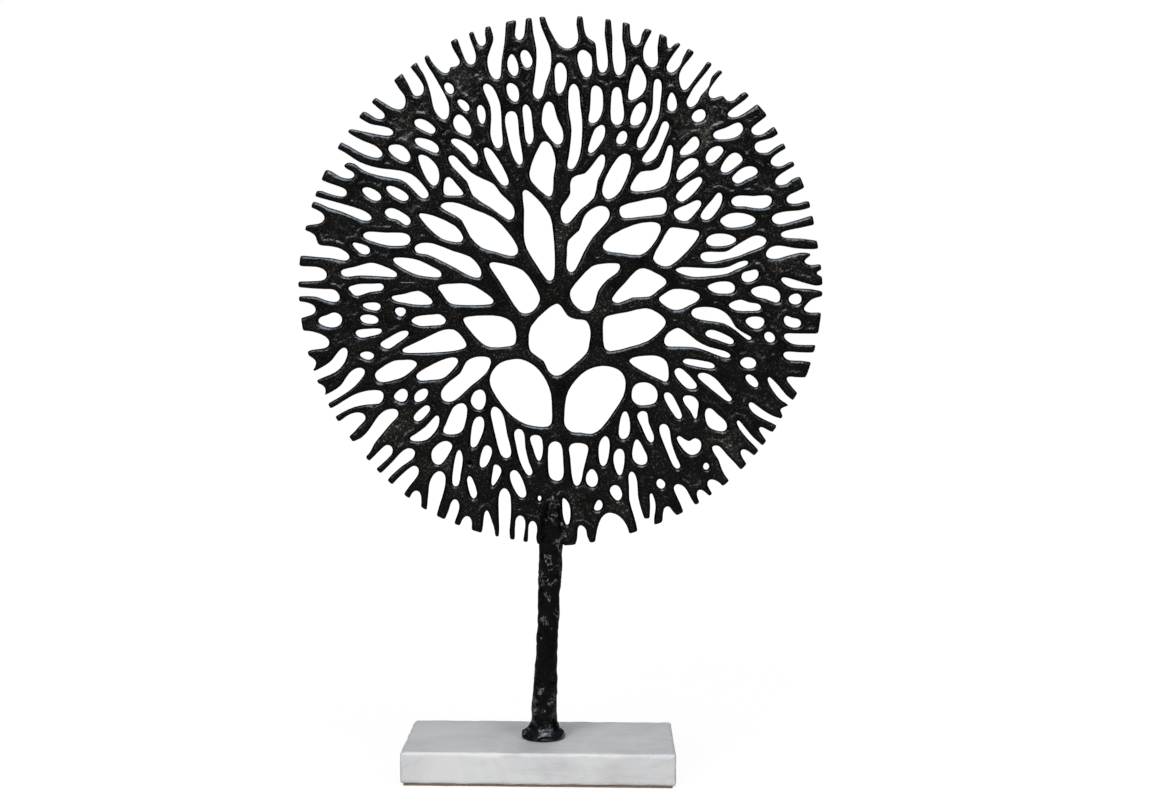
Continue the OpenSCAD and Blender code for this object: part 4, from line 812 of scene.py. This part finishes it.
def lathe(name, profile, around, replaced):
    """A closed profile of (radius, z), either of them a function of the angle, swept right round."""
    a = np.linspace(0, 2 * math.pi, around, endpoint=False)
    rows = []
    for radius, z in profile:
        r = radius(a) if callable(radius) else np.full(around, radius)
        h = z(a) if callable(z) else np.full(around, z)
        rows.append(np.stack([AXIS + r * np.cos(a), r * np.sin(a), h], 1))
    faces = ring_faces(len(rows), around, closed_rows=True)
    points = np.concatenate(rows)
    return piece(name, points, faces, STEEL, replaced, smooth=False)


def thread(name, radius, z0, z1, pitch, replaced):
    """A rod with one helical groove, its ends drawn in by a small chamfer."""
    around = 64
    rise = 0.14
    deepest = 0.61 * pitch
    a = np.linspace(0, 2 * math.pi, around, endpoint=False)
    zs = np.arange(z0, z1 + 0.01, rise)
    z, a = np.meshgrid(zs, a, indexing="ij")
    turn = (z / pitch - a / (2 * math.pi)) % 1
    groove = deepest * np.clip(1.15 * (1 - np.abs(2 * turn - 1)) - 0.06, 0, 1)
    taper = np.clip(np.minimum(z - z0, z1 - z) / 0.8, 0, 1)
    r = np.maximum(radius - groove - (1 - taper) * 0.6, radius - deepest)
    points = np.stack([(AXIS + r * np.cos(a)).ravel(), (r * np.sin(a)).ravel(), z.ravel()], 1)
    faces = ring_faces(len(zs), around) + end_caps(len(zs), around)
    return piece(name, points, faces, STEEL, replaced)


thread("stud_thread", 4.0, stud_low[2], stud_high[2], 1.25, ["threaded_stud"])

nut_low, nut_high = node_box("hex_nut")
NUT_FLAT = 6.5  # from the middle to a flat
NUT_FACE = 6.2  # radius of the round face within the corners' chamfer
NUT_BORE, NUT_MOUTH = 4.05, 4.5


def hexagon(a):
    return NUT_FLAT / np.cos((a % (math.pi / 3)) - math.pi / 6)


def crest(z, way):
    """Height of the chamfer's edge, which falls away towards the corners."""
    return lambda a: z - way * np.clip(hexagon(a) - NUT_FLAT + 0.05, 0, 1) * 0.62


bottom, top = nut_low[2], nut_high[2]
lathe(
    "nut_hex",
    [
        (NUT_BORE, bottom + 0.5), (NUT_MOUTH, bottom), (NUT_FACE, bottom),
        (hexagon, crest(bottom, -1)), (hexagon, crest(top, 1)),
        (NUT_FACE, top), (NUT_MOUTH, top), (NUT_BORE, top - 0.5),
    ],
    72, ["hex_nut"],
)


def washer(name, node, inner, outer, eased):
    """A flat ring with its edges taken off."""
    low, high = node_box(node)
    z0, z1 = low[2], high[2]
    profile = [
        (inner, z0 + eased), (inner + eased, z0), (outer - eased, z0), (outer, z0 + eased),
        (outer, z1 - eased), (outer - eased, z1), (inner + eased, z1), (inner, z1 - eased),
    ]
    return lathe(name, profile, 96, [node])


washer("washer_flat", "flat_washer", 4.2, 8.0, 0.18)


def split_ring(name, node, inner, outer):
    """A spring washer: a square wire ring, cut through and slightly twisted open."""
    low, high = node_box(node)
    z0, z1 = low[2], high[2]
    steps, open_by, eased = 120, 0.22, 0.25
    bottom, top = z0 + 0.02, z1 - 0.24
    section = [
        (inner, z0 + 0.3), (inner + eased, bottom), (outer - eased, bottom), (outer, z0 + 0.3),
        (outer, z1 - 0.5), (outer - eased, top), (inner + eased, top), (inner, z1 - 0.5),
    ]
    points = []
    for k, a in enumerate(np.linspace(math.radians(26), math.radians(375), steps)):
        lift = open_by * k / (steps - 1)
        points += [(AXIS + r * math.cos(a), r * math.sin(a), z + lift) for r, z in section]
    faces = ring_faces(steps, len(section)) + end_caps(steps, len(section))
    return piece(name, points, faces, STEEL, [node], smooth=False)


split_ring("washer_spring", "spring_washer", 4.2, 7.4)


# ---------------------------------------------------------------- floor, light, camera


def floor():
    """A pale floor, which is lifted to white for the camera, so that only its shadows show."""
    half, below_felt = 30, 0.0002
    mesh = bpy.data.meshes.new("floor")
    corners = [(-half, -half, 0), (half, -half, 0), (half, half, 0), (-half, half, 0)]
    mesh.from_pydata(corners, [], [(0, 1, 2, 3)])
    s = Shader("floor_surface")
    seen = s.add("ShaderNodeLightPath").outputs["Is Camera Ray"]
    far = s.add("ShaderNodeVectorMath")
    far.operation = "LENGTH"
    s.tree.links.new(s.place, far.inputs[0])
    lift = s.fit(far.outputs["Value"], 0.3, 1.6, 0.91, 1.0)
    glow = s.calc("MULTIPLY", seen, lift)
    mesh.materials.append(
        s.finish(
            Base_Color=(0.14, 0.14, 0.14, 1),
            Roughness=0.9,
            Specular_IOR_Level=0.0,
            Emission_Color=(1, 1, 1, 1),
            Emission_Strength=glow,
        )
    )
    obj = bpy.data.objects.new("floor", mesh)
    bpy.context.scene.collection.objects.link(obj)
    obj.location.z = -below_felt


BLOCK_MIDDLE, CROWN_FOOT = (0, 0, 0.1), (0, 0, 0.25)
COOL, COOL_FAINT = (0.74, 0.87, 1.0), (0.8, 0.9, 1.0)


def softbox(name, place, aim, size, power, shows_in, colour=(1, 1, 1)):
    """A square lamp that is seen either in glossy surfaces or in matt ones."""
    light = bpy.data.lights.new(name, "AREA")
    light.shape, light.size, light.energy = "SQUARE", size, power
    obj = bpy.data.objects.new(name, light)
    bpy.context.scene.collection.objects.link(obj)
    light.color = colour
    obj.visible_glossy = shows_in == "gloss"
    obj.visible_diffuse = shows_in == "diffuse"
    obj.location = place
    way = np.array(aim) - np.array(place)
    pitch = math.atan2(math.hypot(way[0], way[1]), -way[2])
    obj.rotation_euler = (pitch, 0, math.atan2(way[1], way[0]) - math.pi / 2)


floor()
# name, place, what it is aimed at, size, power, and the surfaces that show it
softbox("key", (-0.8, -1.35, 0.6), BLOCK_MIDDLE, 1.0, 20.8, "diffuse")
softbox("fill", (1.1, -1.2, 0.5), BLOCK_MIDDLE, 0.9, 12, "diffuse")
softbox("above", (0.0, -0.3, 1.8), BLOCK_MIDDLE, 0.9, 4.5, "diffuse")
softbox("behind", (0.4, 1.5, 0.9), BLOCK_MIDDLE, 1.0, 9, "diffuse")
softbox("sky", (0.0, -0.6, 1.6), CROWN_FOOT, 1.0, 25, "gloss", COOL)
softbox("left", (-1.0, -0.8, 0.95), CROWN_FOOT, 0.35, 2.2, "gloss")
softbox("right", (1.0, -0.9, 0.8), CROWN_FOOT, 0.3, 1.1, "gloss")
softbox("rim", (0.3, 0.9, 1.5), CROWN_FOOT, 0.9, 3.5, "gloss", COOL_FAINT)


def studio_world():
    """White behind the object; what lights and reflects in it is dim, warm in front and cool overhead."""
    world = bpy.data.worlds.new("studio")
    world.use_nodes = True
    tree = world.node_tree
    tree.nodes.clear()

    def glow(colour, strength):
        node = add_node(tree, "ShaderNodeBackground", Color=(*colour, 1), Strength=strength)
        return node.outputs[0]

    def join(kind, a, b, first=0, **inputs):
        node = add_node(tree, kind, **inputs)
        tree.links.new(a, node.inputs[first])
        tree.links.new(b, node.inputs[first + 1])
        return node.outputs[0]

    place = add_node(tree, "ShaderNodeTexCoord").outputs["Generated"]
    way = add_node(tree, "ShaderNodeSeparateXYZ", Vector=place)
    front = glow((1.0, 0.95, 0.86), fit_range(tree, way.outputs["Y"], -0.82, -0.99, 0.0, 0.07))
    above = glow((0.72, 0.86, 1.0), fit_range(tree, way.outputs["Z"], 0.25, 0.95, 0.0, 0.2))
    dim = glow((1, 1, 1), 0.012)
    lit = join("ShaderNodeAddShader", join("ShaderNodeAddShader", front, above), dim)
    seen = add_node(tree, "ShaderNodeLightPath").outputs["Is Camera Ray"]
    surface = join("ShaderNodeMixShader", lit, glow((1, 1, 1), 1.0), first=1, Fac=seen)
    add_node(tree, "ShaderNodeOutputWorld", Surface=surface)
    bpy.context.scene.world = world


studio_world()
bpy.context.scene.view_settings.view_transform = "Standard"

camera = bpy.data.objects.new("camera", bpy.data.cameras.new("camera"))
bpy.context.scene.collection.objects.link(camera)
camera.data.lens, camera.data.sensor_width = 46.5, 36
camera.data.clip_start, camera.data.clip_end = 0.01, 50
camera.location = (0.038, -0.943, 0.288)
camera.rotation_euler = (math.radians(90 - 3.12), math.radians(-0.34), math.radians(0.85))
bpy.context.scene.camera = camera
